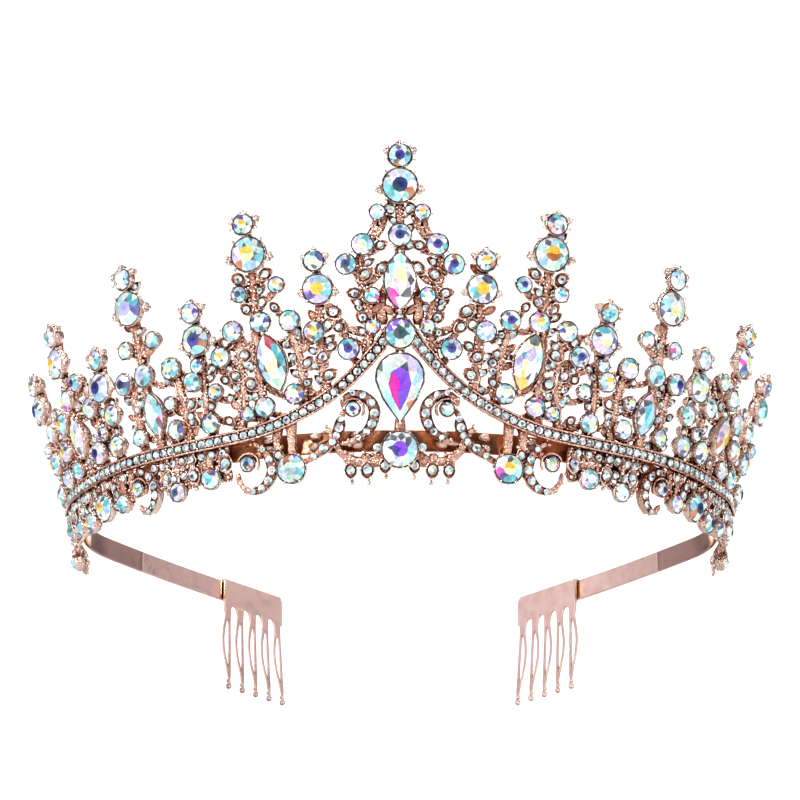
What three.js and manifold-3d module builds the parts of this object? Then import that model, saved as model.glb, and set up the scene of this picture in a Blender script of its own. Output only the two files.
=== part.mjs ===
// Bridal tiara: a flared wall of cast filigree and crystal stones on a flat headband strip,
// with two sprung arms that each end in a crimped side comb.
//
// Units are millimetres. -Y is the front, +Z is up, and left and right in the names are as seen
// from the front, so that +X is right.
// The comb tips stand on z = 0. The design is drawn from the strip's front centre and then
// moved back, so that the origin is below the middle of the piece. The filigree is laid out
// on the wall by two numbers: "arc" is the distance along the strip from the front centre,
// and "height" is the distance up the leaning wall from the strip's lower edge.

import * as THREE from 'three';
import { mergeVertices } from 'three/addons/utils/BufferGeometryUtils.js';
import Module from 'manifold-3d';

const wasm = await Module();
wasm.setup();

// ---------------------------------------------------------------- driving sizes

const BAND_BASE = 21.6; // height of the strip's lower edge above the comb tips
const PLAN_BENDS = [
  { radius: 98, swing: 15 }, // shallow front
  { radius: 59, swing: 62 }, // round sides
  { radius: 18, swing: 51 }, // tight turn behind the temples
  { radius: 370, swing: 5.5 }, // arms, curving gently as far as the combs
];
const FLARE = THREE.MathUtils.degToRad(16);

const STRIP = { height: 4.5, thickness: 0.8, end: 111.8, step: 3.6 };
const ARM = { start: 112.2, end: 158.6, tongueHeight: 3.6 };

const COMB = {
  start: 141.3,
  width: 18.2,
  sheet: 0.7,
  gap: 0.3, // clearance of the folded spine round the strip
  spineHeight: 4.6,
  leafHeight: 3.6,
  pitch: 3.83,
  teeth: 5,
  slotWidth: 1.9,
  slotTop: 1.1, // depth of the plate left above the slots, below the strip
  splitTop: 4.5,
  splitEnd: 16.8,
  toothLength: 20.9,
  tineWidth: 0.6,
  bow: 0.6, // how far each tooth's rear tine bows out
  sweep: 1.7, // how far the tips lean in towards the head
  fan: 0.09, // how far the tips spread, as a share of the distance from the middle tooth
  ball: 0.7,
};

const RAIL = { width: 2.4, back: 0.5, front: 2.3, step: 3 };
const RAIL_LINE = [
  [0, 26.4], [2.2, 23.2], [4.5, 19.8], [9.4, 14.4], [15, 10.1], [21, 7.2], [27.5, 5.2],
  [35, 4.4], [45, 4.4], [56, 5], [67, 5.6], [76, 5.9], [84, 6.6], [90.5, 6],
];

const CUP = { back: 0.5, floor: 2.4, rim: 3.2, wall: 0.4, clearance: 0.3 };
const STEM = { depth: 1.35, thick: 0.9, thin: 0.7, sides: 4 };
const TWIG = { thick: 0.55, thin: 0.45, rise: 0.7 };
const CROWN = { large: 1, small: 0.7 };
const ROUND_SIDES = 8;
const FIELD_SIDES = 6;
const WELD = 1e-4;
const JOIN_TOLERANCE = 0.06;

// Finials: cup centres as [arc, height] with stone diameters, large cup under small cup.
const FINIALS = [
  { large: [0, 53.3, 6.8], small: [0, 59.4, 4.5], foot: [0, 26.4] },
  { large: [14.8, 32.7, 5.8], small: [15.3, 38.5, 3.9], foot: [14, 10.8] },
  { large: [27, 41.1, 6.8], small: [27.5, 47.3, 4.1], foot: [26.6, 5.4] },
  { large: [38, 25.4, 5.8], small: [38.4, 31.2, 3.9], foot: [37.2, 4.4] },
  { large: [51, 35.7, 6.8], small: [51.2, 42, 4.2], foot: [49.2, 4.6] },
  { large: [61.6, 22.4, 5.8], small: [61.4, 28.3, 4], foot: [61, 5.3] },
  { large: [74, 32.8, 6], small: [73.6, 38.6, 4], foot: [71.6, 5.8] },
  { large: [88.2, 28.6, 5.6], small: [88, 34.2, 4], foot: [85.5, 6.7] },
];

// Marquise stones: centre, length, width, lean of the upper tip away from the front centre.
const MARQUISES = [
  { at: [0, 33.9], length: 11.6, width: 6.2, lean: 0 },
  { at: [24, 18.6], length: 12, width: 5.6, lean: 13 },
  { at: [49, 12.7], length: 9.2, width: 4.6, lean: 8 },
  { at: [71.8, 15.4], length: 8.4, width: 4.2, lean: 9 },
];

const PEAR = { at: [0, 12.3], length: 13.8, width: 9.4 };
const CENTRE_ROUNDS = { heart_round: [0, 23.2, 5.8], bottom_round: [0, -0.1, 7] };
const DROP_ROUNDS = [
  { casting: 'front', at: [21.4, -3.1, 5.6] },
  { casting: 'end', at: [68, -1.5, 5.4] },
];
const ROSETTE = { arc: 98.2, height: -2.0, radius: 4.3, back: 0.5, depth: 3.4, petals: 5 };

// Sprays between the finials: a stem up from the rail, and the field stones hung on it
// as [arc, height, diameter].
const SPRAYS = [
  {
    casting: 'centre', stem: [[6.4, 17.6], [5.6, 27], [7.4, 36], [6.6, 41.5]],
    stones: [[6.6, 41.5, 4.2], [9.6, 37.3, 4], [5, 31, 3], [5, 24.8, 2.8], [8.4, 31.4, 2], [9.5, 20.3, 4]],
  },
  {
    casting: 'front', stem: [[18.4, 8.4], [18.6, 16], [20, 24], [20.4, 27]],
    stones: [[20.4, 27, 4], [19.9, 11.9, 3.8], [16.6, 15.6, 2.2], [16.6, 19.4, 2.4]],
  },
  {
    casting: 'front', stem: [[31.6, 4.8], [30.2, 12], [30.4, 20], [30.2, 25.8]],
    stones: [[30.2, 25.8, 4], [33.6, 21, 3.8], [29.4, 9, 2.8], [30.4, 15.6, 2.4]],
  },
  {
    casting: 'front', stem: [[42.6, 4.4], [42.8, 12], [43.9, 21]],
    stones: [[43.9, 21, 4.2], [46, 8.3, 3.6], [44.6, 13, 3], [47, 27.6, 3.2], [40, 17.2, 3.8]],
  },
  {
    casting: 'front', stem: [[53.8, 4.9], [54, 12], [54.8, 20.8]],
    stones: [[54.8, 20.8, 4.2], [53.2, 10.6, 3.2], [53.5, 27.4, 3.4]],
  },
  {
    casting: 'end', stem: [[66.2, 5.6], [66, 12], [66.2, 19.5], [69, 26.4]],
    stones: [[66.2, 19.5, 4], [69, 26.4, 3.4], [66, 10, 4.4]],
  },
  {
    casting: 'end', stem: [[78.6, 6], [78.6, 12], [77.4, 20.5]],
    stones: [[77.4, 20.5, 4.4], [79, 14.6, 4.4], [76, 10, 3.6]],
  },
];

// Field stones carried by the finial stems, by finial number.
const FINIAL_STONES = [
  [[3.9, 47.9, 3], [-3.9, 47.9, 3], [0, 43.2, 4.4]],
  [[15.8, 24.4, 4], [12.2, 27.6, 2.4], [13.4, 15.4, 2.4]],
  [[25.8, 27.2, 4], [22.6, 34.2, 3.2], [29.2, 33.4, 3.2], [26.2, 9.6, 3.8]],
  [[37.2, 8.6, 3.8], [35.4, 14.4, 3], [38.4, 19.4, 2.8]],
  [[50.4, 21, 4.4], [50.8, 28.6, 3.4]],
  [[60.2, 9.4, 4.2], [60.2, 15.6, 4.2]],
  [[74.2, 24, 4.2], [72.4, 9.2, 3.4]],
  [[86, 15.2, 4.6], [84.4, 21.4, 4], [87.4, 8.2, 3.6]],
];

// Scrolls below the rail, as [arc, height] lines, and the round at each scroll's eye.
const SCROLLS = [
  {
    casting: 'centre', eye: [9, 8.2, 2.7],
    line: [[9, 8.2], [10.6, 9.6], [9, 11.4], [7, 11.1], [5.4, 9.4], [4.9, 7], [5.8, 4.8], [8, 2.6]],
  },
  {
    casting: 'centre', eye: [10, -4.1, 2.2],
    line: [[0.5, -2.2], [3.4, -3.6], [6.6, -4.2], [10, -4.1], [11, -1], [8, 2.6]],
  },
  {
    casting: 'front', eye: null,
    line: [[13.8, 10.8], [13.2, 6.4], [13.6, 3.4], [15, 1], [18, -1.4], [21.4, -3.1]],
  },
  {
    casting: 'front', eye: [30.4, -0.7, 2.8],
    line: [[27.6, 4.9], [26.2, 1], [25.8, -2.4], [27.4, -5.8], [30.4, -6.4], [32.6, -4.2], [30.4, -0.7]],
  },
  {
    casting: 'front', eye: [56.4, -0.7, 2.6],
    line: [[53.6, 4.8], [51.8, 1.4], [51.4, -2.2], [52.6, -5.6], [55, -6.2], [57, -4], [56.4, -0.7]],
  },
];

// Small drops under the rail: [arc, height, diameter], each on its own short stem.
const DROPS = {
  front: [[38.4, -3, 4], [46.3, -4.2, 3.6], [35, -0.4, 2.4], [42.4, -1.6, 2.4]],
  end: [[61.8, -2.6, 3.6], [74.6, -2.4, 4], [81, -1.6, 3.6], [87.2, 0, 3.4]],
};

// The castings: the length of rail in each, and which finials and marquises it carries.
// What stands on the centre line is in 'peak', which is built once into the centre casting.
const CENTRE_SPAN = 12.2;
const CASTING_SPANS = { front: [12.5, 57.8], end: [58.15, 90.4] };
const FINIAL_CASTINGS = ['peak', 'front', 'front', 'front', 'front', 'end', 'end', 'end'];
const MARQUISE_CASTINGS = ['peak', 'front', 'front', 'end'];

// ---------------------------------------------------------------- materials

const ROSE_GOLD = { color: 0xd89a80, roughness: 0.28, metalness: 1 };
const SATIN_ROSE = { color: 0xc99b8b, roughness: 0.5, metalness: 0.9 };
const CRYSTAL = { color: 0xbfe6ea, roughness: 0.05, metalness: 0.1 };
const VIOLET_CRYSTAL = { color: 0x9c7be0, roughness: 0.05, metalness: 0.1 };

const tiara = new THREE.Group();
tiara.name = 'bridal_tiara';

/** Adds one named mesh with its own material to a group. */
function addPart(parent, name, geometry, finish) {
  const material = new THREE.MeshStandardMaterial({ ...finish, flatShading: true });
  const mesh = new THREE.Mesh(geometry, material);
  mesh.name = name;
  parent.add(mesh);
  return mesh;
}

// ---------------------------------------------------------------- the wall

/** Point and heading of the strip's outer face at a signed arc distance from the front. */
function planPoint(arc) {
  let left = Math.abs(arc);
  let heading = 0;
  let x = 0;
  let y = 0;
  for (const { radius, swing } of PLAN_BENDS) {
    const run = Math.min(left, radius * THREE.MathUtils.degToRad(swing));
    const next = heading + run / radius;
    x += radius * (Math.sin(next) - Math.sin(heading));
    y += radius * (Math.cos(heading) - Math.cos(next));
    heading = next;
    left -= run;
  }
  x += left * Math.cos(heading);
  y += left * Math.sin(heading);
  const side = Math.sign(arc) || 1;
  return { x: side * x, y, heading: side * heading };
}

/** Axes at a place on the wall: across, up the wall, and out from its front face. */
function wallAxes(arc, flare = FLARE) {
  const { heading } = planPoint(arc);
  const across = new THREE.Vector3(Math.cos(heading), Math.sin(heading), 0);
  const level = new THREE.Vector3(Math.sin(heading), -Math.cos(heading), 0);
  const up = level.clone().multiplyScalar(Math.sin(flare)).setZ(Math.cos(flare));
  const out = level.clone().multiplyScalar(Math.cos(flare)).setZ(-Math.sin(flare));
  return { across, up, out };
}

/** Maps arc, height and distance proud of the wall to a point in space. */
function wallPoint(arc, height, proud, flare = FLARE) {
  const { x, y } = planPoint(arc);
  const { up, out } = wallAxes(arc, flare);
  return new THREE.Vector3(x, y, BAND_BASE).addScaledVector(up, height).addScaledVector(out, proud);
}

/** Placement of something set on the wall, with its own Z axis pointing out. */
function wallMatrix(arc, height, lean = 0) {
  const { across, up, out } = wallAxes(arc);
  const turn = new THREE.Matrix4().makeRotationZ(THREE.MathUtils.degToRad(-lean));
  const matrix = new THREE.Matrix4().makeBasis(across, up, out).setPosition(wallPoint(arc, height, 0));
  return matrix.multiply(turn);
}

// ---------------------------------------------------------------- solids

/** Closes a stack of equal rings of points into a solid, flat at both ends. */
function loft(rings) {
  const count = rings[0].length;
  const positions = rings.flat().flatMap((point) => [point.x, point.y, point.z]);
  const faces = [];
  for (let ring = 0; ring + 1 < rings.length; ring += 1) {
    for (let corner = 0; corner < count; corner += 1) {
      const a = ring * count + corner;
      const b = ring * count + ((corner + 1) % count);
      faces.push(a, b, b + count, a, b + count, a + count);
    }
  }
  const last = (rings.length - 1) * count;
  for (let corner = 1; corner + 1 < count; corner += 1) {
    faces.push(0, corner + 1, corner);
    faces.push(last, last + corner, last + corner + 1);
  }
  const geometry = new THREE.BufferGeometry();
  geometry.setAttribute('position', new THREE.Float32BufferAttribute(positions, 3));
  geometry.setIndex(faces);
  return geometry;
}

/** Regular outline of a round stone or cup. */
function roundOutline(diameter, sides) {
  return Array.from({ length: sides }, (_, corner) => {
    const angle = ((corner + 0.5) / sides) * Math.PI * 2;
    return [Math.cos(angle) * diameter / 2, Math.sin(angle) * diameter / 2];
  });
}

/** Boat-shaped outline with a point at each end. */
function marquiseOutline(length, width, steps = 4) {
  const outline = [];
  for (let step = 0; step < steps * 2; step += 1) {
    const angle = (step / steps) * Math.PI;
    const side = Math.abs(Math.sin(angle)) ** 1.15 * Math.sign(Math.sin(angle));
    outline.push([side * width / 2, -Math.cos(angle) * length / 2]);
  }
  return outline;
}

/** Drop-shaped outline, round above and pointed below. */
function pearOutline(length, width) {
  const crown = length / 2 - width / 2;
  const outline = [[0, -length / 2], [width * 0.27, -length * 0.26]];
  for (let step = 0; step <= 6; step += 1) {
    const angle = (step / 6) * Math.PI;
    outline.push([Math.cos(angle) * width / 2, crown + Math.sin(angle) * width / 2]);
  }
  outline.push([-width * 0.27, -length * 0.26]);
  return outline;
}

/** Grows or shrinks an outline along its outward normals. */
function offsetOutline(outline, amount) {
  return outline.map(([x, y], index) => {
    const [px, py] = outline.at(index - 1);
    const [nx, ny] = outline[(index + 1) % outline.length];
    const before = new THREE.Vector2(y - py, px - x).normalize();
    const after = new THREE.Vector2(ny - y, x - nx).normalize();
    const normal = before.clone().add(after).normalize();
    const reach = amount / Math.max(normal.dot(after), 0.6);
    return [x + normal.x * reach, y + normal.y * reach];
  });
}

/** Turns outlines at given depths into a lofted solid: stages are [outline, depth] pairs. */
function loftOutlines(stages) {
  return loft(stages.map(([outline, depth]) => outline.map(([x, y]) => new THREE.Vector3(x, y, depth))));
}

/** Scales an outline about its centre. */
function scaleOutline(outline, factor) {
  return outline.map(([x, y]) => [x * factor, y * factor]);
}

/** Faceted stone standing on its outline: table, crown and the top of the pavilion. */
function stoneGeometry(outline, crown) {
  const base = CUP.floor + CUP.clearance;
  return loftOutlines([
    [scaleOutline(outline, 0.72), base],
    [outline, CUP.rim + 0.1],
    [scaleOutline(outline, 0.58), CUP.rim + 0.1 + crown],
  ]);
}

/** Open cup with a recess for a stone of this outline. */
function cupGeometry(outline) {
  const seat = offsetOutline(outline, CUP.clearance);
  const outside = offsetOutline(outline, CUP.clearance + CUP.wall);
  return loftOutlines([
    [scaleOutline(outside, 0.7), CUP.back],
    [outside, CUP.rim],
    [seat, CUP.rim],
    [seat, CUP.floor],
  ]);
}

/** Small cup filled by its stone, as one tapered solid. */
function fieldCupGeometry(diameter) {
  const outside = roundOutline(diameter + 2 * CUP.wall, FIELD_SIDES);
  return loftOutlines([
    [scaleOutline(outside, 0.7), CUP.back],
    [outside, CUP.rim],
  ]);
}

/** Square rod along wall points [arc, height], straight or curved, with end radii. */
function rodGeometry(line, thick, thin, sides, steps) {
  const flat = new THREE.CatmullRomCurve3(line.map(([arc, height]) => new THREE.Vector3(arc, height, 0)));
  const centres = [];
  const outs = [];
  for (let step = 0; step <= steps; step += 1) {
    const spot = flat.getPoint(step / steps);
    centres.push(wallPoint(spot.x, spot.y, STEM.depth));
    outs.push(wallAxes(spot.x).out);
  }
  const rings = centres.map((centre, step) => {
    const from = centres[Math.max(step - 1, 0)];
    const to = centres[Math.min(step + 1, steps)];
    const along = to.clone().sub(from).normalize();
    const side = along.clone().cross(outs[step]).normalize();
    const normal = along.clone().cross(side);
    const radius = THREE.MathUtils.lerp(thick, thin, step / steps);
    return Array.from({ length: sides }, (_, corner) => {
      const angle = ((corner + 0.5) / sides) * Math.PI * 2;
      return centre.clone()
        .addScaledVector(side, Math.cos(angle) * radius)
        .addScaledVector(normal, Math.sin(angle) * radius);
    });
  });
  return loft(rings);
}

/** Rectangular bar on the wall through stations [arc, height, slope], in order of arc. */
function barGeometry(stations, width, back, front, flare = FLARE) {
  const half = width / 2;
  const rings = stations.map(([arc, height, slope]) => {
    const tilt = Math.atan(slope);
    const shift = Math.sin(tilt) * half;
    const rise = Math.cos(tilt) * half;
    return [
      wallPoint(arc + shift, height - rise, back, flare),
      wallPoint(arc - shift, height + rise, back, flare),
      wallPoint(arc - shift, height + rise, front, flare),
      wallPoint(arc + shift, height - rise, front, flare),
    ];
  });
  return loft(rings);
}

/** Hands a closed geometry to the solid kernel. */
function toSolid(geometry) {
  const source = geometry.clone();
  source.deleteAttribute('normal');
  source.deleteAttribute('uv');
  const welded = mergeVertices(source, WELD);
  const mesh = new wasm.Mesh({
    numProp: 3,
    vertProperties: new Float32Array(welded.attributes.position.array),
    triVerts: new Uint32Array(welded.index.array),
  });
  return new wasm.Manifold(mesh);
}

/** Joins overlapping closed geometries into one. */
function join(geometries) {
  const whole = geometries.map(toSolid).reduce((sum, solid) => sum.add(solid)).simplify(JOIN_TOLERANCE);
  const mesh = whole.getMesh();
  const geometry = new THREE.BufferGeometry();
  geometry.setAttribute('position', new THREE.Float32BufferAttribute(mesh.vertProperties, 3));
  geometry.setIndex(Array.from(mesh.triVerts));
  return geometry;
}

// ---------------------------------------------------------------- headband strip and arms

/** Upright flat strip between two signed arcs, its outer face on the plan line. */
function stripGeometry(from, to, height) {
  const count = Math.max(1, Math.round(Math.abs(to - from) / STRIP.step));
  const [low, high] = from < to ? [from, to] : [to, from];
  const arcs = Array.from({ length: count + 1 }, (_, index) => low + ((high - low) * index) / count);
  const stations = arcs.map((arc) => [arc, height / 2, 0]);
  return barGeometry(stations, height, -STRIP.thickness, 0, 0);
}

/** One arm: full height as far as the comb, then a lower tongue that the comb folds over. */
function armGeometry(side) {
  const shoulder = COMB.start - COMB.gap;
  const full = stripGeometry(side * ARM.start, side * shoulder, STRIP.height);
  const tongue = stripGeometry(side * (shoulder - STRIP.step), side * ARM.end, ARM.tongueHeight);
  return join([full, tongue]);
}

// ---------------------------------------------------------------- combs

/** Distance of a tooth's middle from the seam. */
function toothMiddle(tooth) {
  return COMB.width / 2 + (tooth - (COMB.teeth - 1) / 2) * COMB.pitch;
}

/** Comb plate with its slots and the slit that splits each tooth, along x from the seam, z up as y. */
function combShape() {
  const { width, pitch, teeth, slotWidth, slotTop, splitTop, splitEnd, toothLength, tineWidth, bow } = COMB;
  const shape = new THREE.Shape();
  const slotHalf = slotWidth / 2;
  const slotMiddle = -slotTop - slotHalf;
  const toothHalf = pitch / 2 - slotHalf;
  const waist = -splitTop - 4;
  shape.moveTo(width, COMB.spineHeight);
  shape.lineTo(0, COMB.spineHeight);
  shape.lineTo(0, slotMiddle);
  for (let tooth = 0; tooth < teeth; tooth += 1) {
    const middle = toothMiddle(tooth);
    shape.lineTo(middle - toothHalf - bow, waist);
    shape.lineTo(middle - toothHalf - bow, waist - 3);
    shape.lineTo(middle - 0.5, -splitEnd);
    shape.lineTo(middle - 0.3, -toothLength);
    shape.lineTo(middle + 0.3, -toothLength);
    shape.lineTo(middle + 0.6, -splitEnd);
    shape.lineTo(middle + toothHalf, waist);
    if (tooth < teeth - 1) {
      shape.absarc(middle + pitch / 2, slotMiddle, slotHalf, Math.PI, 0, true);
    }
  }
  shape.lineTo(width, slotMiddle);
  for (let tooth = 0; tooth < teeth; tooth += 1) {
    const middle = toothMiddle(tooth);
    const left = middle - toothHalf - bow + tineWidth;
    const right = middle + toothHalf - tineWidth;
    const slit = new THREE.Path();
    slit.moveTo(middle, -splitTop);
    slit.lineTo(left, waist);
    slit.lineTo(left, waist - 3);
    slit.lineTo(middle + 0.05, -splitEnd + 0.9);
    slit.lineTo(right, waist);
    shape.holes.push(slit);
  }
  return shape;
}

/** Comb in its own frame: x along the arm, z up, toothed plate on the side that inward points to. */
function combGeometry(inward) {
  const { sheet, width, spineHeight, leafHeight, toothLength } = COMB;
  const channel = STRIP.thickness + 2 * COMB.gap;
  const offset = channel / 2 + sheet / 2;
  const flat = { depth: sheet, bevelEnabled: false, curveSegments: 5 };
  const plate = new THREE.ExtrudeGeometry(combShape(), flat);
  plate.rotateX(Math.PI / 2);
  plate.translate(0, inward * offset + sheet / 2, 0);
  const leaf = new THREE.BoxGeometry(width, sheet, leafHeight);
  leaf.translate(width / 2, -inward * offset, spineHeight - leafHeight / 2);
  const fold = new THREE.BoxGeometry(width, channel + 2 * sheet, sheet);
  fold.translate(width / 2, 0, spineHeight - sheet / 2);
  const balls = Array.from({ length: COMB.teeth }, (_, tooth) => {
    const ball = new THREE.OctahedronGeometry(COMB.ball, 1);
    return ball.translate(toothMiddle(tooth), inward * offset, -toothLength);
  });
  const comb = join([plate, leaf, fold, ...balls]);
  const position = comb.attributes.position;
  for (let index = 0; index < position.count; index += 1) {
    const drop = Math.max(0, -position.getZ(index)) / toothLength;
    position.setY(index, position.getY(index) + inward * COMB.sweep * drop ** 1.5);
    position.setX(index, position.getX(index) + (position.getX(index) - width / 2) * COMB.fan * drop);
  }
  return comb;
}

// ---------------------------------------------------------------- castings

const railSpots = RAIL_LINE.map(([arc, height]) => new THREE.Vector3(arc, height, 0));
const railCurve = new THREE.CatmullRomCurve3(railSpots);

/** Rail height and slope at a distance from the front centre. */
function railAt(arc) {
  let low = 0;
  let high = 1;
  for (let halving = 0; halving < 20; halving += 1) {
    const middle = (low + high) / 2;
    if (railCurve.getPoint(middle).x < arc) {
      low = middle;
    } else {
      high = middle;
    }
  }
  const tangent = railCurve.getTangent(low);
  return { height: railCurve.getPoint(low).y, slope: tangent.y / tangent.x };
}

/** Rail between two signed arcs. */
function railGeometry(from, to) {
  const count = 2 * Math.round((to - from) / RAIL.step / 2);
  const stations = Array.from({ length: count + 1 }, (_, index) => {
    const arc = from + ((to - from) * index) / count;
    const { height, slope } = railAt(Math.abs(arc));
    return [arc, height, Math.sign(arc) * slope];
  });
  return barGeometry(stations, RAIL.width, RAIL.back, RAIL.front);
}

/** Rod on one side of the tiara along [arc, height] points. */
function sideRod(line, side, thick, thin, steps) {
  const turned = line.map(([arc, height]) => [side * arc, height]);
  return rodGeometry(turned, thick, thin, STEM.sides, steps);
}

/** Places a solid drawn about its own centre at [arc, height] on one side. */
function onWall(geometry, [arc, height], side, lean = 0) {
  return geometry.applyMatrix4(wallMatrix(side * arc, height, side * lean));
}

/** Small filled cup and the twig that ties it to the nearest lower place on a stem. */
function fieldStone([arc, height, diameter], stem, side) {
  const solids = [onWall(fieldCupGeometry(diameter), [arc, height], side)];
  const line = new THREE.CatmullRomCurve3(stem.map(([x, y]) => new THREE.Vector3(x, y, 0)));
  const spots = line.getPoints(24);
  const reach = (spot) => Math.hypot(spot.x - arc, spot.y - (height - Math.abs(spot.x - arc) * TWIG.rise));
  const root = spots.reduce((best, spot) => (reach(spot) < reach(best) ? spot : best));
  if (Math.hypot(root.x - arc, root.y - height) > diameter * 0.3) {
    solids.push(sideRod([[root.x, root.y], [arc, height]], side, TWIG.thick, TWIG.thin, 1));
  }
  return solids;
}

/** One finial: stem, large cup, small cup above it, and the field stones on its stem. */
function finialSolids({ large, small, foot }, stones, side) {
  const stem = [foot, [large[0], (foot[1] + large[1]) / 2], [large[0], large[1]], [small[0], small[1]]];
  const cups = [large, small].map((seat) => {
    const outline = roundOutline(seat[2], ROUND_SIDES);
    return onWall(cupGeometry(outline), seat, side);
  });
  return [
    sideRod(stem, side, STEM.thick, STEM.thin, 4),
    ...cups,
    ...stones.flatMap((stone) => fieldStone(stone, stem, side)),
  ];
}

/** Everything in one casting on one side, ready to be joined. */
function castingSolids(casting, side) {
  const inCasting = (item) => item.casting === casting;
  const finials = FINIALS.map((finial, index) => ({ finial, index }))
    .filter(({ index }) => FINIAL_CASTINGS[index] === casting)
    .flatMap(({ finial, index }) => finialSolids(finial, FINIAL_STONES[index], side));
  const sprays = SPRAYS.filter(inCasting).flatMap(({ stem, stones }) => [
    sideRod(stem, side, STEM.thick, STEM.thin, 4),
    ...stones.flatMap((stone) => fieldStone(stone, stem, side)),
  ]);
  const marquises = MARQUISES.filter((_, index) => MARQUISE_CASTINGS[index] === casting)
    .map((item) => onWall(cupGeometry(marquiseOutline(item.length, item.width)), item.at, side, item.lean));
  const scrolls = SCROLLS.filter(inCasting).flatMap(({ line, eye }) => [
    sideRod(line, side, STEM.thin, STEM.thin, 6),
    ...(eye ? [onWall(fieldCupGeometry(eye[2]), eye, side)] : []),
  ]);
  const hung = (DROPS[casting] ?? []).flatMap((drop) => [
    sideRod([[drop[0], railAt(drop[0]).height], drop], side, STEM.thin, STEM.thin, 1),
    onWall(fieldCupGeometry(drop[2]), drop, side),
  ]);
  const dropRounds = DROP_ROUNDS.filter(inCasting).flatMap(({ at }) => [
    sideRod([[at[0], railAt(at[0]).height], at], side, STEM.thin, STEM.thin, 2),
    onWall(cupGeometry(roundOutline(at[2], ROUND_SIDES)), at, side),
  ]);
  return [...finials, ...sprays, ...marquises, ...scrolls, ...hung, ...dropRounds];
}

/** Cup for a round stone given as [arc, height, diameter]. */
function roundCup(at, side) {
  return onWall(cupGeometry(roundOutline(at[2], ROUND_SIDES)), at, side);
}

/** Centre casting: both halves, the rail's peak, the pear's cup and the two rounds' cups. */
function centreCasting() {
  const { heart_round: heart, bottom_round: bottom } = CENTRE_ROUNDS;
  return join([
    railGeometry(-CENTRE_SPAN, CENTRE_SPAN),
    onWall(cupGeometry(pearOutline(PEAR.length, PEAR.width)), PEAR.at, 1),
    roundCup(heart, 1),
    roundCup(bottom, 1),
    sideRod([bottom, heart], 1, STEM.thick, STEM.thick, 2),
    ...castingSolids('peak', 1),
    ...castingSolids('centre', 1),
    ...castingSolids('centre', -1),
  ]);
}

/** Front or end casting on one side. */
function sideCasting(casting, side) {
  const [near, far] = CASTING_SPANS[casting].map((arc) => side * arc);
  return join([railGeometry(Math.min(near, far), Math.max(near, far)), ...castingSolids(casting, side)]);
}

/** Folded rose at the end of the castings: a twisted stack of petalled rings. */
function rosetteGeometry(side) {
  const { arc, height, radius, back, depth, petals } = ROSETTE;
  const stages = [[0.7, 0, 0], [1, 0.35, 20], [0.8, 0.75, 50], [0.35, 1, 80]];
  const rings = stages.map(([size, rise, twist]) => Array.from({ length: petals * 2 }, (_, corner) => {
    const angle = (corner / petals) * Math.PI + THREE.MathUtils.degToRad(twist);
    const reach = radius * size * (corner % 2 ? 0.72 : 1);
    return new THREE.Vector3(Math.cos(angle) * reach, Math.sin(angle) * reach, back + depth * rise);
  }));
  return onWall(loft(rings), [arc, height], side);
}

// ---------------------------------------------------------------- assembly

/** Sets one faceted stone in its cup. */
function addStone(name, outline, crown, [arc, height], lean, finish) {
  const mesh = addPart(tiara, name, stoneGeometry(outline, crown), finish);
  mesh.applyMatrix4(wallMatrix(arc, height, lean));
}

addPart(tiara, 'headband_strip', stripGeometry(-STRIP.end, STRIP.end, STRIP.height), SATIN_ROSE);
addPart(tiara, 'centre_casting', centreCasting(), ROSE_GOLD);
addStone('centre_marquise', marquiseOutline(MARQUISES[0].length, MARQUISES[0].width), CROWN.large,
  MARQUISES[0].at, 0, CRYSTAL);
addStone('centre_pear', pearOutline(PEAR.length, PEAR.width), CROWN.large, PEAR.at, 0, VIOLET_CRYSTAL);
for (const [name, at] of Object.entries(CENTRE_ROUNDS)) {
  addStone(name, roundOutline(at[2], ROUND_SIDES), CROWN.large, at, 0, VIOLET_CRYSTAL);
}

/** Adds the two stones of a finial; the centre finial has no side. */
function addFinialStones(label, { large, small }, side) {
  const seats = { large_stone: large, small_stone: small };
  for (const [size, [arc, height, diameter]] of Object.entries(seats)) {
    const crown = size === 'large_stone' ? CROWN.large : CROWN.small;
    const outline = roundOutline(diameter, ROUND_SIDES);
    addStone(`${label}_${size}`, outline, crown, [side * arc, height], 0, CRYSTAL);
  }
}

addFinialStones('centre_finial', FINIALS[0], 1);

for (const [label, side] of [['right', 1], ['left', -1]]) {
  for (const casting of Object.keys(CASTING_SPANS)) {
    addPart(tiara, `${label}_${casting}_casting`, sideCasting(casting, side), ROSE_GOLD);
  }
  addPart(tiara, `${label}_end_rosette`, rosetteGeometry(side), ROSE_GOLD);

  MARQUISES.slice(1).forEach(({ at, length, width, lean }, index) => {
    addStone(`${label}_marquise_${index + 1}`, marquiseOutline(length, width), CROWN.large,
      [side * at[0], at[1]], side * lean, CRYSTAL);
  });
  DROP_ROUNDS.forEach(({ at: [arc, height, diameter] }, index) => {
    addStone(`${label}_drop_round_${index + 1}`, roundOutline(diameter, ROUND_SIDES), CROWN.large,
      [side * arc, height], 0, CRYSTAL);
  });
  FINIALS.slice(1).forEach((finial, index) => addFinialStones(`${label}_finial_${index + 1}`, finial, side));

  addPart(tiara, `${label}_arm`, armGeometry(side), SATIN_ROSE);

  const comb = addPart(tiara, `${label}_comb`, combGeometry(side), SATIN_ROSE);
  const { across } = wallAxes(side * COMB.start, 0);
  const along = across.multiplyScalar(side);
  const up = new THREE.Vector3(0, 0, 1);
  const seam = wallPoint(side * COMB.start, 0, -STRIP.thickness / 2, 0);
  comb.applyMatrix4(new THREE.Matrix4().makeBasis(along, up.clone().cross(along), up).setPosition(seam));
}

// The origin stands below the middle of the whole piece, on the plane of the comb tips.
const reach = new THREE.Box3().setFromObject(tiara);
tiara.position.y = -(reach.min.y + reach.max.y) / 2;

tiara.updateMatrixWorld(true);
export default tiara;
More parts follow.
